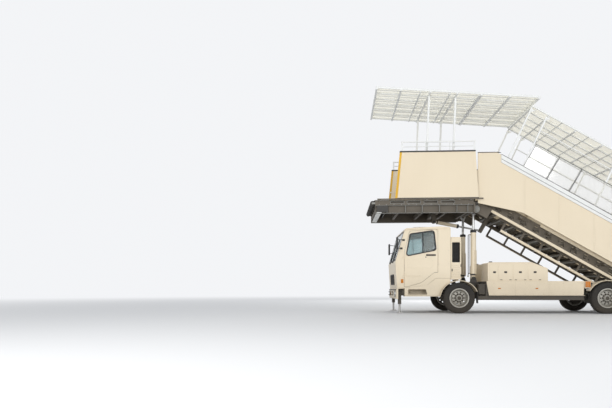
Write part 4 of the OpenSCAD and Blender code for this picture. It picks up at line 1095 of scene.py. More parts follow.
def rail_feet(form):
    for x in (RAIL_BACK, RAIL_FRONT):
        form.turned((x, RAIL_Y, GUARD_TOP + 14), UPWARD, [(0, 34), (6, 34), (8, 22), (30, 18)], 20)
        form.turned((x, RAIL_Y, RAIL_Z), UPWARD, [(-30, 17), (-22, 20), (10, 20), (16, 14)], 16)
    for x in (240, 820):
        form.rod((x, RAIL_Y, GUARD_TOP + 10), (x, RAIL_Y, RAIL_Z), 12, 12)
        form.turned((x, RAIL_Y, GUARD_TOP + 14), UPWARD, [(0, 28), (6, 28), (8, 16)], 16)
    form.tube([(RAIL_BACK, RAIL_Y, MID_RAIL_Z), (RAIL_FRONT, RAIL_Y, MID_RAIL_Z)], 11, 12)
    form.tube(soften([(RAIL_BACK, RAIL_Y, GUARD_TOP + 16), (RAIL_BACK, RAIL_Y, RAIL_Z),
                      (RAIL_FRONT, RAIL_Y, RAIL_Z), (RAIL_FRONT, RAIL_Y, GUARD_TOP + 16)], 30), 17.4, 16)


on_both("yellow_band", "guard", "body_paint", yellow_band, warning_yellow)
on_both("guard_cap", "guard", "cab_trim", dark_cap)
on_both("guard_ribs", "guard", "body_paint", guard_frame)
on_both("guard_rail_feet", "guard", "white_frame", rail_feet)

# %% [markdown]
# People stand on chequer plate: steel rolled with rows of short raised lozenges that lie
# across one another. A bump map would do from afar, but from the platform's own height
# the pattern stands in profile, so each lozenge is a low eight-sided bead in the mesh.
# The side beams get the bolts, stiffeners and clamps that join them to the floor.

# %% Platform floor and edges
LOZENGE_LENGTH, LOZENGE_WIDTH, LOZENGE_HEIGHT = 34, 11, 1.8
LOZENGE_STEP = (38, 49)


def lozenge(form, x, y, z, turned):
    """One raised bead of the chequer plate, lying half a right angle to one side or the other."""
    turn = math.radians(45 if turned else -45)
    along = Vector((math.cos(turn), math.sin(turn), 0))
    across = Vector((-along.y, along.x, 0))
    middle = Vector((x, y, z))
    rim = [(-1, 0), (-0.5, -1), (0.5, -1), (1, 0), (0.5, 1), (-0.5, 1)]
    low = [middle + along * a * LOZENGE_LENGTH / 2 + across * b * LOZENGE_WIDTH / 2 for a, b in rim]
    high = [middle + along * a * LOZENGE_LENGTH * 0.34 + across * b * LOZENGE_WIDTH * 0.25 +
            Vector((0, 0, LOZENGE_HEIGHT)) for a, b in rim]
    form.rings([[point - Vector((0, 0, 0.6)) for point in low], high])


form = Form()
for row in range(62):
    for column in range(38):
        x = -352 + row * LOZENGE_STEP[0]
        y = -912 + column * LOZENGE_STEP[1] + (24 if row % 2 else 0)
        if abs(y) < 930 and x < 2005:
            lozenge(form, x, y, FLOOR_Z, (row + column) % 2)
form.block((-398, -954, FLOOR_Z - 2), (-372, 954, FLOOR_Z + 3), 1)
form.block((2000, -954, FLOOR_Z - 2), (2037, 954, FLOOR_Z + 3), 1)
form.done("chequer_plate", "platform", "grey_steel", step_grey)

# %% [markdown]
# Under the floor the platform is a welded frame, seen from below in the photograph. The
# slots in its side beams are edged by flanges, the box at the front is dark, and a light
# bar crosses under it. The hinge to the flight is a thick casting with a capped shaft.

# %% Platform frame details
HINGE_X, HINGE_Z = -432.6, 2557.7
form = Form()
for x in (280, 690, 1100, 1500):
    slot_edge = rounded([(x - 160, 2690, 4), (x + 160, 2690, 4), (x + 160, 2745, 4), (x - 160, 2745, 4)])
    form.band(slot_edge, -2, 9, 1046, 1054)
for x in (-200, 60, 480, 895, 1300, 1750):
    form.block((x - 6, 992, 2470), (x + 6, 1049, 2652), 2)
for x in range(-220, 1960, 180):
    form.bolt((x, 1050, 2662), SIDEWAYS, 13)
form.block((-330, 984, 2452), (2030, 1052, 2461), 3)
form.block((-330, 984, 2641), (2030, 1052, 2651), 3)
for x in (-300, 800, 1900):
    for shift in (14, 46):
        form.bolt((x + shift, 1075, 2762), SIDEWAYS, 10)
form.turned((HINGE_X, 889, HINGE_Z), SIDEWAYS,
            [(0, 92), (9, 92), (13, 86), (13, 52), (20, 48), (22, 20)], 40)
form.prism(rounded([(-500, 2490, 40), (-330, 2478, 20), (-325, 2640, 20), (-470, 2650, 50)]),
           852, 899, arris=5)
form.bolt_ring((HINGE_X, 901, HINGE_Z), 68, 6, SIDEWAYS, 13)
form.mirror_over()
for x in range(-100, 1900, 400):
    form.block((x, -925, 2756), (x + 8, 925, 2771), 1)
form.done("platform_flanges", "platform", "grey_steel")

form = Form()
form.block((1722, 986, 2482), (2003, 1052, 2650), 6)
form.block((1760, 1050, 2520), (1960, 1056, 2612), 3)
form.mirror_over()
form.block((1722, -984, 2560), (1760, 984, 2650), 6)
form.done("nose_boxes", "platform", "frame_paint")
form = Form()
form.block((1880, -1046, 2462), (2000, 1046, 2482), 5)
form.done("nose_bar", "platform", "white_frame")

# %% [markdown]
# The bumper along the platform's front edge is a row of soft black rubber rolls on a steel
# core. Between the rolls sit narrow clamps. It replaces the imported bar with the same
# radius: the rolls are turned solids with round shoulders, the clamps are steel bands,
# and rubber buffer fingers hang in front of the floor's edge.

# %% Bumper
BUMPER_X, BUMPER_Z = 2100, 2700
BUMPER_HALF = 1048
ROLLS = 7
roll_length = 2 * BUMPER_HALF / ROLLS
form = Form()
for i in range(ROLLS):
    y = -BUMPER_HALF + i * roll_length
    form.turned((BUMPER_X, y + 3, BUMPER_Z), SIDEWAYS, [
        (0, 30), (1, 48), (6, 56), (14, 60), (roll_length / 2 - 4, 60), (roll_length / 2 - 2, 58.6),
        (roll_length / 2 + 2, 58.6), (roll_length / 2 + 4, 60), (roll_length - 20, 60),
        (roll_length - 12, 56), (roll_length - 7, 48), (roll_length - 6, 30)], 36)
for y in range(-985, 985, 179):
    form.prism(rounded([(2041, 2650, 10), (2062, 2650, 10), (2068, 2770, 12), (2041, 2778, 8)]),
               y - 30, y + 30, arris=4)
bumper = form.done("bumper_rolls", "platform", "bumper_rubber")
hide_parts("platform_bumper")
form = Form()
form.rod((BUMPER_X, -BUMPER_HALF - 1, BUMPER_Z), (BUMPER_X, BUMPER_HALF + 1, BUMPER_Z), 26, 20)
for i in range(1, ROLLS):
    y = -BUMPER_HALF + i * roll_length
    form.block((2034, y - 2, BUMPER_Z - 10), (2102, y + 2, BUMPER_Z + 10), 1)
for y in (-1047, 1043):
    form.block((2034, y, 2676), (2122, y + 4, 2724), 2)
form.done("bumper_core", "platform", "grey_steel")

# %% [markdown]
# The canopy over the platform is a pale sheet in corrugated strips on a white grid of
# tubes, so light comes through it and the grid shows from below. The sheet is drawn as a
# wave with a real thickness: its upper and lower lines are joined into one closed
# outline and drawn out from side to side. Trim strips close its edges, and gussets and
# bolts join tubes and posts. Cover strips lie over the sheet's joints.

# %% Platform canopy
CANOPY_BACK, CANOPY_FRONT = -1870, 2030
CANOPY_FALL = math.radians(4.66)
CANOPY_HALF = 1235
CANOPY_TOP = 5500
SHEET_PITCH = 50
canopy_top = facing((CANOPY_FRONT, 0, CANOPY_TOP), (math.cos(CANOPY_FALL), 0, math.sin(CANOPY_FALL)),
                    SIDEWAYS, (-math.sin(CANOPY_FALL), 0, math.cos(CANOPY_FALL)))
CANOPY_LENGTH = (CANOPY_FRONT - CANOPY_BACK) / math.cos(CANOPY_FALL)


def wave_sheet(form, start, end, low, reach, swing, thick):
    """A corrugated sheet: a wave from side to side, drawn out lengthwise, thick all over."""
    count = int(round((end - start) / SHEET_PITCH * 8))
    crest = [(start + (end - start) * i / count, low + swing * math.sin(math.tau * i / 8))
             for i in range(count + 1)]
    outline = crest + [(a, b + thick) for a, b in reversed(crest)]
    form.prism(outline, reach[0], reach[1], along="x")


form = Form(canopy_top)
for low, high in ((-1232, -822), (-818, -412), (-408, -2), (2, 408), (412, 818), (822, 1232)):
    wave_sheet(form, low, high, 2.2, (-CANOPY_LENGTH + 6, -6), 1.6, 2.2)
roof = form.done("canopy_strips", "platform", "canopy_sheet")
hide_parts("platform_canopy_sheet")
form = Form()
for x in (800, 160):
    for y in (962, 998):
        for shift in (-16, 62):
            form.bolt((x + shift, y, 2782.5), UPWARD, 13)
    form.prism([(x + 45, 2783), (x + 74, 2783), (x + 47, 2900)], 973, 983)
    form.prism([(x - 28, 2783), (x, 2783), (x, 2880)], 973, 983)
form.mirror_over()
form.place = canopy_top
for y in (-820, -410, 0, 410, 820):
    form.block((-CANOPY_LENGTH + 4, y - 16, 4), (-4, y + 16, 5.9), 0.6)
for x in (-CANOPY_LENGTH + 1, -12):
    form.block((x, -CANOPY_HALF + 1, -44), (x + 11, CANOPY_HALF - 1, 5.5), 1)
for y in (-CANOPY_HALF + 1, CANOPY_HALF - 9):
    form.block((-CANOPY_LENGTH + 2, y, -44), (-2, y + 8, 5.5), 1)
for x in (1100, 1800, 2500, 3200):
    form.block((-x, -1200, -72), (-x + 36, 1200, -42), 2)
for y in (-600, -200, 200, 600, 1015, -1015):
    form.block((-CANOPY_LENGTH + 8, y - 14, -14), (-8, y + 14, 1), 2)
form.done("canopy_trim", "platform", "white_frame")

# %% [markdown]
# Over the flight stands a lighter hood: white square tubes from the handrail's band up
# to a roof of pale sheet, with clear panes between the handrail and an upper rail. The
# posts lean forward a little, and the first two stand close together at the step in the
# guard. The ribs and lengthwise bars under the roof are its grid, seen from below.
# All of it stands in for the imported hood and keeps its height, width and length.

# %% Hood frame
HOOD_FRONT = 4150
HOOD_TAIL = 420
HOOD_HALF = 975
RIB_LOW = 2735
TUBE = 40
POST_IN = 919.7
HAND_Z = 1393.6
LEAN = math.tan(math.radians(5))
post_places = (4150, 3730, 1780, 560)
rib_places = (4150, 3690, 2970, 2250, 1530, 810, 460)


def lean_x(x, z):
    return x - (RIB_LOW - z) * LEAN


def nosing(x):
    return FLOOR_Z + (x + 934.9) * math.tan(PITCH)


STEP_X, BAND_END = -1000.2, -4330
BAND_LOW, BAND_TOP = 915.5, 1110
BAND_IN, BAND_OUT = 960, 1035


def band_outline(low, high, short=0):
    """The handrail band's outline between two heights over the nosings, drawn in at both ends."""
    front, back = STEP_X - short, BAND_END + short
    return [(front, nosing(STEP_X) + low), (back, nosing(BAND_END) + low),
            (back, nosing(BAND_END) + high), (front, nosing(STEP_X) + high)]


form = Form()
form.prism(band_outline(BAND_LOW, BAND_TOP), BAND_IN, BAND_OUT, arris=3)
form.place = slope
for x in post_places:
    low = HAND_Z - 140
    foot = lean_x(x, low)
    form.prism([(foot - TUBE, low), (foot, low), (x, RIB_LOW), (x - TUBE, RIB_LOW)],
               POST_IN, POST_IN + TUBE, arris=3)
    form.block((foot - 90, POST_IN + TUBE - 1, low + 4), (foot + 50, POST_IN + TUBE + 4, low + 120))
    for shift in (-72, 32):
        for up in (28, 96):
            form.bolt((foot + shift, POST_IN - 0.5, low + up), (0, -1, 0), 13)
    form.prism([(x - TUBE - 90, RIB_LOW - 2), (x - TUBE + 2, RIB_LOW - 2), (x - TUBE - 6, RIB_LOW - 92)],
               POST_IN + 16, POST_IN + 24)
rails = ((1690, 20), (2005, 30), (2370, 20))
for z, thick in rails:
    form.block((HOOD_TAIL + 60, POST_IN - thick, z), (lean_x(3730, z), POST_IN - 0.3, z + thick), 2)
for x in (1180, 2350, 2960):
    form.block((x, POST_IN - 18, 1400), (x + 22, POST_IN - 0.5, 2008), 2)
form.block((HOOD_TAIL, HOOD_HALF - 32, RIB_LOW + TUBE), (HOOD_FRONT, HOOD_HALF - 4, RIB_LOW + 70), 2)
form.block((HOOD_TAIL, HOOD_HALF - 4, RIB_LOW + 34), (HOOD_FRONT, HOOD_HALF + 1, RIB_LOW + 78), 1)
form.mirror_over()
for x in rib_places:
    form.block((x - TUBE, -POST_IN - TUBE, RIB_LOW), (x, POST_IN + TUBE, RIB_LOW + TUBE), 3)
for x in (3330, 2610, 1890, 1170):
    form.block((x - 24, -HOOD_HALF + 6, RIB_LOW + 44), (x, HOOD_HALF - 6, RIB_LOW + 70), 2)
for y in (-582, -194, 194, 582):
    form.block((HOOD_TAIL, y - 20, RIB_LOW + TUBE), (HOOD_FRONT, y + 20, RIB_LOW + 70), 2)
for x in (HOOD_TAIL, HOOD_FRONT - 8):
    form.block((x, -HOOD_HALF, RIB_LOW + 30), (x + 8, HOOD_HALF, RIB_LOW + 78), 1)
hood = form.done("hood_frame", "upper_stair", "white_frame")
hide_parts("stair_canopy_frame")

# %% [markdown]
# The roof sheet is corrugated along the slope, so rain runs down it. The clear side
# panes are flat and sit in thin rubber. Both are pale plastic: light passes, but the
# frame behind shows softly. They are closed solids a few millimetres thick.

# %% Hood sheets
form = Form(slope)
for low, high in ((-971, -584), (-580, -196), (-192, 192), (196, 580), (584, 971)):
    wave_sheet(form, low, high, RIB_LOW + 72.2, (HOOD_TAIL + 8, HOOD_FRONT - 8), 1.6, 2.2)
sheets = form.done("hood_sheets", "upper_stair", "canopy_sheet")
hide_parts("stair_glazing")
PANE_LOW, PANE_TOP = HAND_Z + 4, 2032
form = Form(slope)
pane_ends = [HOOD_TAIL + 62, 1180, 2350, 2960, lean_x(3730, 1700) - TUBE]
for low, high in zip(pane_ends, pane_ends[1:]):
    form.block((low + 6, POST_IN + TUBE + 0.3, PANE_LOW), (high - 6, POST_IN + TUBE + 5.5, PANE_TOP), 1)
form.mirror_over()
form.done("hood_panes", "upper_stair", "canopy_sheet", clear_sheet)
form = Form(slope)
for low, high in zip(pane_ends, pane_ends[1:]):
    form.band([(low + 6, PANE_LOW), (high - 6, PANE_LOW), (high - 6, PANE_TOP), (low + 6, PANE_TOP)],
              -7, 3, POST_IN + TUBE - 1, POST_IN + TUBE + 7)
form.mirror_over()
form.done("pane_rubbers", "upper_stair", "cab_trim")

# %% [markdown]
# The flight's side is a tall cream board made of sheets joined at narrow covered seams,
# with rows of rivets along its edges. On top lies a grey band with a thin dark line, and
# inside it runs the handrail, a steel tube on brackets. The seams are thin strips with
# domed rivets; the rivets are low spherical caps of eight sides.

# %% Upper flight's boards
def rivet(form, spot, out, radius=5.5):
    form.turned(spot, out, [(-0.5, radius), (1.2, radius * 0.8), (2.2, radius * 0.35)], 8)


GUARD_FACE = 1015
BOARD_TOP = 3920
form = Form()
for x in (-1560, -2380, -3200, -4020):
    low = 2452 if x > -1700 else nosing(x) - 4
    high = nosing(x) + 912
    form.block((x - 18, GUARD_FACE - 1, low), (x + 18, GUARD_FACE + 3, high), 1)
    for i in range(14):
        z = low + 20 + (high - low - 40) * i / 13
        for shift in (-11, 11):
            rivet(form, (x + shift, GUARD_FACE + 3, z), SIDEWAYS)
form.place = slope
for x in range(330, 3607, 84):
    if x < 3300:
        rivet(form, (x, GUARD_FACE, 450), SIDEWAYS)
    rivet(form, (x, GUARD_FACE, 1205), SIDEWAYS)
form.place = truck
form.block((-454, GUARD_FACE - 1, 2700), (-450, GUARD_FACE + 4, BOARD_TOP - 4), 1)
for z in range(2730, 3879, 82):
    rivet(form, (-468, GUARD_FACE, z), SIDEWAYS)
form.mirror_over()
form.done("board_seams", "upper_stair", "body_paint")

form = Form()
for low, high, inner in ((990, 1000, BAND_OUT - 3), (1104, 1116, BAND_IN - 2)):
    form.prism(band_outline(low, high, 4), inner, BAND_OUT + 2)
form.prism([(-1003, BOARD_TOP - 14), (-449, BOARD_TOP - 14),
            (-449, BOARD_TOP + 4), (-940, BOARD_TOP + 4)], 986, 1019)
form.mirror_over()
form.done("band_lines", "upper_stair", "cab_trim")

RAIL_IN = 905
form = Form(slope)
rail_line = soften([(300, RAIL_IN, HAND_Z - 160), (300, RAIL_IN, HAND_Z - 40), (3560, RAIL_IN, HAND_Z - 40),
                    (3900, RAIL_IN, HAND_Z - 235)], 60)
form.tube(rail_line, 19, 14)
for x in range(420, 3421, 500):
    form.tube(soften([(x, RAIL_IN, HAND_Z - 58), (x, RAIL_IN, HAND_Z - 100), (x, 988, HAND_Z - 100)], 30),
              8, 8)
    form.block((x - 30, 982, HAND_Z - 130), (x + 30, 989.5, HAND_Z - 70), 2)
form.mirror_over()
form.done("upper_handrail", "upper_stair", "bare_steel")

# %% [markdown]
# From below one sees how the flights are made: dark side plates with cut-outs, a light
# channel along each lower edge, and the treads between them. The plates carry a small
# angle bracket for each tread. Plates with many holes come from a flat curve that is
# filled and thickened, which leaves clean rims without a boolean.

# %% Side plates of the flights
STEP = 346.41
NOSE_TOP = 3731.2
UPPER_NOSE = 432.3
LOWER_NOSE = 261.1
LOWER_FIRST = -1010
UPPER_TREADS, LOWER_TREADS = 11, 13
UPPER_HALF, LOWER_HALF = 740, 660
PLATE_IN, PLATE_OUT = 801, 806
upper_noses = [NOSE_TOP - (i + 1) * STEP for i in range(UPPER_TREADS)]

form = Form(slope)
outline = [(-300, 182), (3880, 182), (3800, 418), (-300, 418)]
holes = [rounded([(x + 60, 215, 26), (x + 250, 215, 26), (x + 290, 330, 26), (x + 150, 330, 26)])
         for x in upper_noses if x > -150]
form.cut_sheet([outline] + holes, PLATE_IN, PLATE_OUT)
for x in range(-240, 3763, 138):
    form.bolt((x, PLATE_OUT, 392), SIDEWAYS, 12)
for x in upper_noses:
    form.prism([(x + 20, 350), (x + 250, 262), (x + 250, 240), (x + 20, 330)], UPPER_HALF + 1, PLATE_IN)
    form.bolt((x + 70, PLATE_OUT, 356), SIDEWAYS, 14)
form.mirror_over()
form.done("upper_side_plates", "upper_stair", "grey_steel", dark_brown_steel)

form = Form(slope)
form.prism([(-350, 121), (3960, 121), (3990, 178), (-350, 178)], 799.9, 804, arris=1)
form.block((-350, 768, 116), (3960, 804, 121), 1)
form.block((-350, 768, 178), (3960, 804, 182), 1)
form.mirror_over()
form.done("upper_channels", "upper_stair", "body_paint")
form = Form(slope)
form.block((-120, 699, -164), (3240, 704, -112), 1)
form.block((-120, 660, -168), (3240, 704, -163.2), 1)
for x in (1180, 2740):
    form.block((x, 704, -158), (x + 220, 709, -118), 1)
    for shift in (30, 110, 190):
        form.bolt((x + shift, 709, -138), SIDEWAYS, 12)
form.mirror_over()
form.done("lower_channels", "lower_stair", "body_paint")

# %% [markdown]
# A tread of such stairs is a folded steel plate. Its top has raised ribs across the way
# people walk, its front edge a ridged nosing, and its underside two folded lips with
# stiffeners between them. The upper treads pass close over the lower ones, so only the
# lower ones have lips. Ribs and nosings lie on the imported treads, at their spacing.

# %% Treads
def tread_place(x, z):
    return slope @ Matrix.Translation((x, 0, z)) @ Matrix.Rotation(PITCH, 4, "Y")


def dress_tread(form, half, lips):
    for x in range(34, 245, 21):
        form.block((x, -half + 14, -0.6), (x + 8, half - 14, 2.2), 0.9)
    form.prism([(-3, -30), (1, -31), (1, 0.5), (28, 0.5), (28, 3.4), (22, 4.2), (19, 3), (16, 4.2), (13, 3),
                (10, 4.2), (7, 3), (4, 4.2), (0, 3.4), (-3, 0)], -half + 4, half - 4)
    if not lips:
        return
    form.block((2, -half + 4, -46), (7, half - 4, -27), 1)
    form.block((252, -half + 4, -56), (257, half - 4, -27), 1)
    for y in (-half * 0.5, 0, half * 0.5):
        form.block((10, y - 3, -44), (252, y + 3, -27.5), 1)


form = Form(slope)
for x in upper_noses:
    form.place = tread_place(x, UPPER_NOSE)
    dress_tread(form, UPPER_HALF, lips=False)
form.place = tread_place(NOSE_TOP, UPPER_NOSE)
for row in range(1, 12):
    for column in range(30):
        lozenge(form, 10 + row * LOZENGE_STEP[0], -710 + column * LOZENGE_STEP[1] + (24 if row % 2 else 0),
                0, (row + column) % 2)
form.prism([(-3, -30), (1, -31), (1, 0.5), (28, 0.5), (28, 3.4), (16, 4.2), (4, 4.2), (-3, 0)], -736, 736)
form.done("upper_treads", "upper_stair", "grey_steel", step_grey)
form = Form(slope)
for i in range(LOWER_TREADS):
    form.place = tread_place(LOWER_FIRST + i * STEP, LOWER_NOSE)
    dress_tread(form, LOWER_HALF, lips=True)
form.done("lower_treads", "lower_stair", "grey_steel", step_grey)

# %% [markdown]
# The lower flight carries its own boards and rail inside the upper ones. The boards get
# seams with rivets and a rail on short stubs, the pivots get caps with a ring of bolts,
# and the side plates at the foot get their bolts.

# %% Lower boards and foot
LOWER_RAIL_Y, LOWER_RAIL_Z = 866, 1450
form = Form(slope)
for x in (-385, 560, 1540):
    form.block((x - 16, 871, 380), (x + 16, 875, 1375), 1)
    for z in range(400, 1349, 79):
        for shift in (-9, 9):
            rivet(form, (x + shift, 875, z), SIDEWAYS, 5)
form.block((-440, 868, 372), (2490, 876, 392), 2)
form.mirror_over()
form.done("lower_seams", "lower_stair", "body_paint")
form = Form(slope)
form.tube(soften([(-310, LOWER_RAIL_Y, 1400), (-310, LOWER_RAIL_Y, LOWER_RAIL_Z),
                  (2480, LOWER_RAIL_Y, LOWER_RAIL_Z)], 40), 18, 14)
for x in (-200, 560, 1420, 2280):
    form.tube([(x, LOWER_RAIL_Y, 1422), (x, LOWER_RAIL_Y, LOWER_RAIL_Z)], 9, 8)
form.mirror_over()
form.done("lower_handrail", "lower_stair", "bare_steel")
form = Form(truck)
form.turned((PIVOT_X, 759, PIVOT_Z), SIDEWAYS, [(0, 46), (6, 46), (9, 40), (14, 30), (15, 6)], 32)
form.bolt_ring((PIVOT_X, 747, PIVOT_Z), 62, 6, SIDEWAYS, 12)
form.mirror_over()
form.done("pivot_caps", "chassis", "frame_paint")
form = Form(truck)
for x, z in ((-4960, 232), (-4600, 330), (-4420, 400), (-4180, 470)):
    form.bolt((x, 680, z), SIDEWAYS, 14)
form.block((-4990, 600, 207), (-4840, 678, 214), 2)
form.mirror_over()
form.done("foot_bolts", "lower_stair", "frame_paint")

# %% [markdown]
# Under and behind the cab the truck is full of small machinery. A tall cabinet stands
# behind the cab on each side, with louvres, a dark air intake, hinges and a latch. It is
# made in the scene: a frame cut from a flat sheet, a box behind it, and folded louvres.

# %% Cabinets behind the cab
form = Form()
BACK, FRONT = -60, 190
INNER, OUTER = 640, 951
FOOT, HEAD = 831, 1870
SHELL = 8
intake = rounded([(-30, 1250, 16), (160, 1250, 16), (160, 1740, 16), (-30, 1740, 16)])
edge = rounded([(BACK, FOOT, 3), (FRONT, FOOT, 3), (FRONT, HEAD, 30), (BACK, HEAD, 30)])
form.cut_sheet([edge, intake], 950, 956)
form.block((BACK, INNER, FOOT), (BACK + SHELL, OUTER, HEAD - 2), 2)
form.block((FRONT - SHELL, INNER, FOOT), (FRONT, OUTER, HEAD - 2), 2)
form.block((BACK + 2, INNER, HEAD - 10), (FRONT - 2, OUTER, HEAD - 1), 3)
form.block((BACK + 2, INNER, FOOT), (FRONT - 2, OUTER, FOOT + SHELL), 2)
form.block((BACK + 2, INNER - 4, FOOT + 2), (FRONT - 2, INNER + 4, HEAD - 4), 2)
form.block((-44, 955, 880), (174, 960, 1225), 3)
for z in range(905, 1170, 44):
    form.block((-20, 958, z), (150, 968, z + 22), 5)
form.block((-44, 955, 1765), (174, 960, 1850), 3)
form.mirror_over()
form.done("cabinet_shells", "chassis", "body_paint")
form = Form()
form.block((-40, 812, 1240), (170, 820, 1750), 2)
for z in range(1262, 1705, 34):
    form.block((-28, 925, z), (158, 944, z + 7), 2)
for x in (14, 64, 114):
    form.block((x, 920, 1256), (x + 6, 926, 1734), 1)
for z in (930, 1170):
    form.rod((-50, 962, z - 30), (-50, 962, z + 30), 7, 12)
form.block((150, 960, 1030), (172, 970, 1090), 4)
form.mirror_over()
form.done("cabinet_intakes", "chassis", "cab_trim")

# %% [markdown]
# The equipment boxes on the deck have sheet doors with hinges and flush latches, a lid
# along the top and a fuel filler. Beside the rails hang the batteries in a strapped box
# and the air tank, a welded cylinder with domed ends.

# %% Boxes, tank and batteries
form = Form()
DOOR_LOW = 815
for low, high, top in ((-1290, -960, 1205), (-1640, -1310, 1205), (-1990, -1660, 1060), (-940, -745, 1205)):
    form.prism(rounded([(low, DOOR_LOW, 14), (high, DOOR_LOW, 14), (high, top, 14), (low, top, 14)]),
               949, 954, arris=2)
form.prism(rounded([(-735, 1232, 4), (-725, 1250, 6), (-1745, 1250, 6), (-2130, 1098, 6), (-2122, 1082, 4),
                    (-1740, 1232, 4)]), 336, 956, arris=1)
form.mirror_over()
form.done("box_doors", "chassis", "body_paint")
form = Form()
for x in (-1240, -1020, -1590, -1370, -1940, -1720):
    form.rod((x - 26, 957, 822), (x + 26, 957, 822), 6, 10)
for x in (-1125, -1475, -1825, -860):
    form.prism(rounded([(x - 34, 985, 8), (x + 34, 985, 8), (x + 34, 1030, 8), (x - 34, 1030, 8)]),
               953, 957, arris=1)
    form.block((x - 22, 956, 1000), (x + 14, 962, 1012), 2)
form.turned((-830, 700, 1248), UPWARD, [(0, 52), (6, 52), (10, 44), (26, 42), (32, 36), (34, 6)], 28)
form.mirror_over()
form.done("box_latches", "chassis", "cab_trim")

form = Form()
form.block((-640, 665, 470), (-480, 935, 690), 5)
form.block((-648, 658, 684), (-472, 940, 720), 8)
form.block((-640, 410, 548), (-480, 668, 578), 3)
for x in (-610, -520):
    form.block((x, 661, 466), (x + 24, 939, 470), 1)
    form.block((x, 938, 466), (x + 24, 943, 724), 1)
    form.block((x, 661, 719), (x + 24, 943, 724), 1)
for x in range(-636, -507, 32):
    form.block((x, 934, 500), (x + 16, 938, 660), 2)
form.mirror_over()
form.done("battery_boxes", "chassis", "frame_paint")
TANK_Y, TANK_Z, TANK_RADIUS = 640, 560, 118
form = Form()
form.turned((-2750, TANK_Y, TANK_Z), FORWARD, [
    (0, 8), (3, 60), (22, 104), (48, TANK_RADIUS), (560, TANK_RADIUS), (586, 104), (605, 60), (608, 8)], 36)
strap = [(0, TANK_RADIUS), (0, TANK_RADIUS + 5), (30, TANK_RADIUS + 5), (30, TANK_RADIUS)]
for x in (-2640, -2280):
    form.hoop((x, TANK_Y, TANK_Z), FORWARD, strap, 36)
    form.block((x, 530, 640), (x + 30, 640, 652), 2)
    form.block((x, 415, 560), (x + 30, 540, 590), 2)
form.mirror_over()
form.done("air_tanks", "chassis", "grey_steel")

# %% [markdown]
# The fenders and skirts are thin sheet, so their free edges are rolled or folded for
# stiffness. A tube along the fender's outer arc makes its lip, and rubber mud flaps hang
# behind the wheels. The sill below the door has a skirt with a step well let into it.

# %% Fender lips, skirts and flaps
ARCH_HALF, ARCH_RISE = 456, 420


def arch(centre, grow, first, last, steps=22):
    """Points on a fender's arc, from one angle to another."""
    turns = [math.radians(first + (last - first) * i / steps) for i in range(steps + 1)]
    return [(centre + (ARCH_HALF + grow) * math.cos(turn), WHEEL_RADIUS + (ARCH_RISE + grow) * math.sin(turn))
            for turn in turns]


form = Form()
for centre, first, last in ((0, 8, 158), (REAR_AXLE, 24, 158)):
    form.tube([(x, 1046, z) for x, z in arch(centre, 4, first, last)], 9, 10)
    inner, outer = arch(centre, 2, first, last), arch(centre, 9, first, last)
    form.rings([[(a[0], 1030, a[1]), (b[0], 1030, b[1]), (b[0], 1049, b[1]), (a[0], 1049, a[1])]
                for a, b in zip(inner, outer)])
skirt = [(200, 857), (556, 857), (758, 700), (1314, 624), (1314, 442), (466, 442)] + \
    [(x, z) for x, z in arch(0, 12, 9, 64, 12)]
well = rounded([(760, 456, 24), (1230, 456, 24), (1230, 592, 30), (800, 592, 30)])
form.cut_sheet([skirt, well], 974, 979)
form.band(well, -3, 8, 976, 983)
form.block((-2998, 971, 438), (-880, 979, 446), 2)
for x in (-2950, -2500, -2050, -1600, -1150, -860):
    form.bolt((x + 20, 976, 470), SIDEWAYS, 10)
    form.bolt((x + 20, 976, 740), SIDEWAYS, 10)
for x in (-1350, -2150):
    form.block((x - 3, 975, 446), (x + 3, 978.5, 782), 1)
form.mirror_over()
form.done("sheet_edges", "chassis", "body_paint")
form = Form()
for centre in (0, REAR_AXLE):
    x = centre - 432
    form.prism([(x - 5, 540), (x + 3, 540), (x - 12, 250), (x - 18, 250)], 845, 1040, arris=1)
for x in range(780, 1197, 52):
    form.block((x, 735, 439), (x + 26, 975, 443), 1.5)
form.mirror_over()
form.done("flaps_and_step_ribs", "chassis", "cab_trim")

# %% [markdown]
# Springs, brakes and pipes show between and behind the wheels. Each spring pack is tied
# to its axle by two U-bolts with a plate and four nuts, its leaves are held by clips, and
# a brake drum stands behind each rear wheel. The drive shaft runs forward from the rear
# axle, and steel pipes run along the rails in clips.

# %% Running gear
form = Form()
SPRING_IN, SPRING_OUT = 466, 534
for axle, low, high in ((0, 330, 455), (REAR_AXLE, 327, 480)):
    for x in (axle - 52, axle + 52):
        bent_bolt = [(x, SPRING_IN, low - 26), (x, SPRING_IN, high + 14),
                     (x, SPRING_OUT, high + 14), (x, SPRING_OUT, low - 26)]
        form.tube(soften(bent_bolt, 20), 7, 10)
        for y in (SPRING_IN, SPRING_OUT):
            form.bolt((x, y, low - 10), (0, 0, -1), 20)
    form.block((axle - 76, 450, low - 12), (axle + 76, 550, low - 1), 2)
    for reach in (-330, 330):
        form.block((axle + reach - 14, SPRING_IN, high - 8), (axle + reach + 14, SPRING_OUT, high + 46), 3)
    form.tube(soften([(axle - 60, 560, 360), (axle - 120, 610, 330), (axle - 130, 640, 560)], 50), 8, 8)
form.turned((REAR_AXLE, 790, WHEEL_RADIUS), SIDEWAYS,
            [(0, 60), (2, 150), (8, 178), (52, 182), (58, 176)], 40)
form.mirror_over()
form.turned((REAR_AXLE - 3, 0, WHEEL_RADIUS), (-1, 0, 0), [(120, 150), (150, 138), (172, 96), (186, 40)], 32)
form.bolt_ring((REAR_AXLE - 150, 0, WHEEL_RADIUS), 140, 10, (-1, 0, 0), 11)
form.rod((REAR_AXLE + 150, 0, WHEEL_RADIUS), (-1250, 0, 500), 34, 20)
form.turned((-1255, 0, 500), (1, 0, -0.05), [(0, 36), (10, 56), (24, 56), (30, 40)], 24)
form.done("running_gear", "chassis", "frame_paint")
form = Form()
PIPE_Y = 422
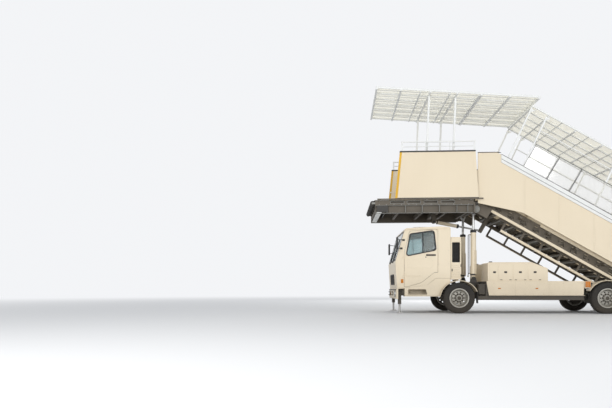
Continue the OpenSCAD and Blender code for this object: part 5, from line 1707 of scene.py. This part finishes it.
for fall in (0, 14, 28):
    near = PIPE_Y - 5 + fall * 0.2
    form.tube(soften([(1300, near, 540 - fall), (300, near, 540 - fall), (200, PIPE_Y, 520 - fall),
                      (-900, PIPE_Y, 520 - fall), (-3300, PIPE_Y, 520 - fall)], 60), 4, 6)
for x in range(-3200, 1300, 450):
    form.block((x, 414, 480), (x + 16, 430, 552), 2)
form.mirror_over()
form.done("rail_pipes", "chassis", "bare_steel", zinc_fitting)

# %% [markdown]
# The lift cylinders stand behind the cab. Each barrel has a gland nut at its top, a ring
# at its foot, caps on its pin, and two ports with hoses that run down to the deck. A
# curved light cowl covers the lower part. Hoses are tubes along bent lines with crimped
# brass ends. They are pipes of a fixed run between two points of one body.

# %% Lift cylinders
LIFT_X = HINGE_X
LIFT_Y = 600
LIFT_PIN_Z = 860
COWL_OUTER, COWL_INNER = 82, 78
form = Form()
for y in (LIFT_Y, -LIFT_Y):
    form.turned((LIFT_X, y, 2008), UPWARD, [(0, 67), (3, 75), (60, 75), (64, 70), (66, 40), (74, 38)], 36)
    form.turned((LIFT_X, y, 942), UPWARD, [(0, 66), (4, 74), (30, 74), (36, 68)], 36)
    for turn in around(4, 0.5):
        form.rod((LIFT_X + 74 * math.cos(turn), y + 74 * math.sin(turn), 2020),
                 (LIFT_X + 78 * math.cos(turn), y + 78 * math.sin(turn), 2020), 6, 8)
    for way in (1, -1):
        form.turned((LIFT_X, y + way * 62, LIFT_PIN_Z), (0, way, 0), [(-2, 34), (5, 34), (7, 28)], 24)
form.done("gland_nuts", "lift_barrels", "cab_trim")
form = Form()


def cowl_arc(radius, angles):
    return [(LIFT_X - radius * math.cos(math.radians(a)), radius * math.sin(math.radians(a))) for a in angles]


cowl = cowl_arc(COWL_OUTER, range(-70, 71, 14)) + cowl_arc(COWL_INNER, range(70, -71, -14))
for lift_y in (LIFT_Y, -LIFT_Y):
    form.prism([(x, y + lift_y) for x, y in cowl], 960, 1560, along="z")
    for z in (990, 1520):
        form.block((LIFT_X - 80, lift_y - 10, z), (LIFT_X - 62, lift_y + 10, z + 14), 2)
form.done("barrel_cowls", "lift_barrels", "body_paint")
form = Form()
fittings = Form()
HOSE_X = LIFT_X + 112
HOSE_FOOT = 905
for side in (1, -1):
    y = side * LIFT_Y - side * 66
    for z, shift in ((1960, 0), (990, 24)):
        fittings.rod((LIFT_X + 40, y + side * 20, z), (LIFT_X + 92, y + side * 8, z), 12, 12)
        fittings.bolt((LIFT_X + 66, y + side * 14, z), (1, -0.2 * side, 0), 26, 14, washer=False)
        hose_y = y - side * shift
        form.tube(soften([(LIFT_X + 90, y + side * 8, z), (HOSE_X, y + side * 2, z),
                          (HOSE_X, hose_y, z - 70), (HOSE_X, hose_y, HOSE_FOOT)], 40), 9, 10)
        fittings.rod((HOSE_X, hose_y, HOSE_FOOT + 28), (HOSE_X, hose_y, HOSE_FOOT - 6), 12, 12)
    form.tube([(LIFT_X + 86, side * 560, 1000), (LIFT_X + 86, side * 560, 1940)], 5, 8)
form.done("lift_hoses", "lift_barrels", "cab_trim", hose_black)
fittings.done("hose_ends", "lift_barrels", "bare_steel", zinc_fitting)

# %% [markdown]
# The levelling cylinder under the platform gets the same gland and pin caps. Each jack's
# foot plate gets gussets, a collar and two bolts. Tail lamps, each with an indicator
# beside it, close the rear beam.

# %% Levelling cylinder, jacks and tail
LEVEL_PIN = Vector((447.4, 0, 2357.7))
LEVEL_ALONG = Vector((-1.2, 0, -0.24)).normalized()
form = Form()
form.turned(LEVEL_PIN + LEVEL_ALONG * 600, LEVEL_ALONG,
            [(0, 45), (3, 52), (46, 52), (51, 46), (53, 26), (58, 25)], 30)
form.turned(LEVEL_PIN + LEVEL_ALONG * 74, LEVEL_ALONG, [(0, 44), (3, 51), (22, 51), (26, 46)], 30)
for sign in (1, -1):
    form.turned(LEVEL_PIN + Vector((0, sign * 58, 0)), (0, sign, 0), [(-2, 30), (4, 30), (6, 24)], 20)
form.done("level_gland", "level_barrel", "cab_trim")
for body, x, y in (("front_jacks", 1420, 800), ("rear_jacks", -4030.3, 880)):
    form = Form()
    for turn in (45, 135, 225, 315):
        out = Vector((math.cos(math.radians(turn)), math.sin(math.radians(turn)), 0))
        side_way = Vector((-out.y, out.x, 0)) * 3
        foot, top = Vector((x, y, 17)), Vector((x, y, 37))
        ring = [foot + out * 24, foot + out * 50, foot + out * 50 + Vector((0, 0, 4)), top + out * 24]
        form.rings([[point - side_way for point in ring], [point + side_way for point in ring]])
    form.turned((x, y, 17), UPWARD, [(0, 25), (1, 33), (16, 31), (18, 26)], 24)
    for b in (-1, 1):
        form.bolt((x - 58, y + b * 58, 18), UPWARD, 13)
    form.mirror_over()
    form.done(body + "_gussets", body, "bare_steel")

form = Form()
form.block((-4022, 700, 206), (-3990.3, 796, 212), 1)
form.block((-3994, 705, 214), (-3990, 835, 292), 2)
form.mirror_over()
form.done("tail_backs", "chassis", "cab_trim")
for name, inner, outer, lens in (("tail_lamps", 712, 772, red_lens),
                                 ("tail_indicators", 776, 826, amber_lens)):
    form = Form()
    form.prism(rounded([(inner, 222, 8), (outer, 222, 8), (outer, 284, 8), (inner, 284, 8)]),
               -4004, -3993, along="x", arris=3)
    form.mirror_over()
    form.done(name, "chassis", "lamp_lens", lens)
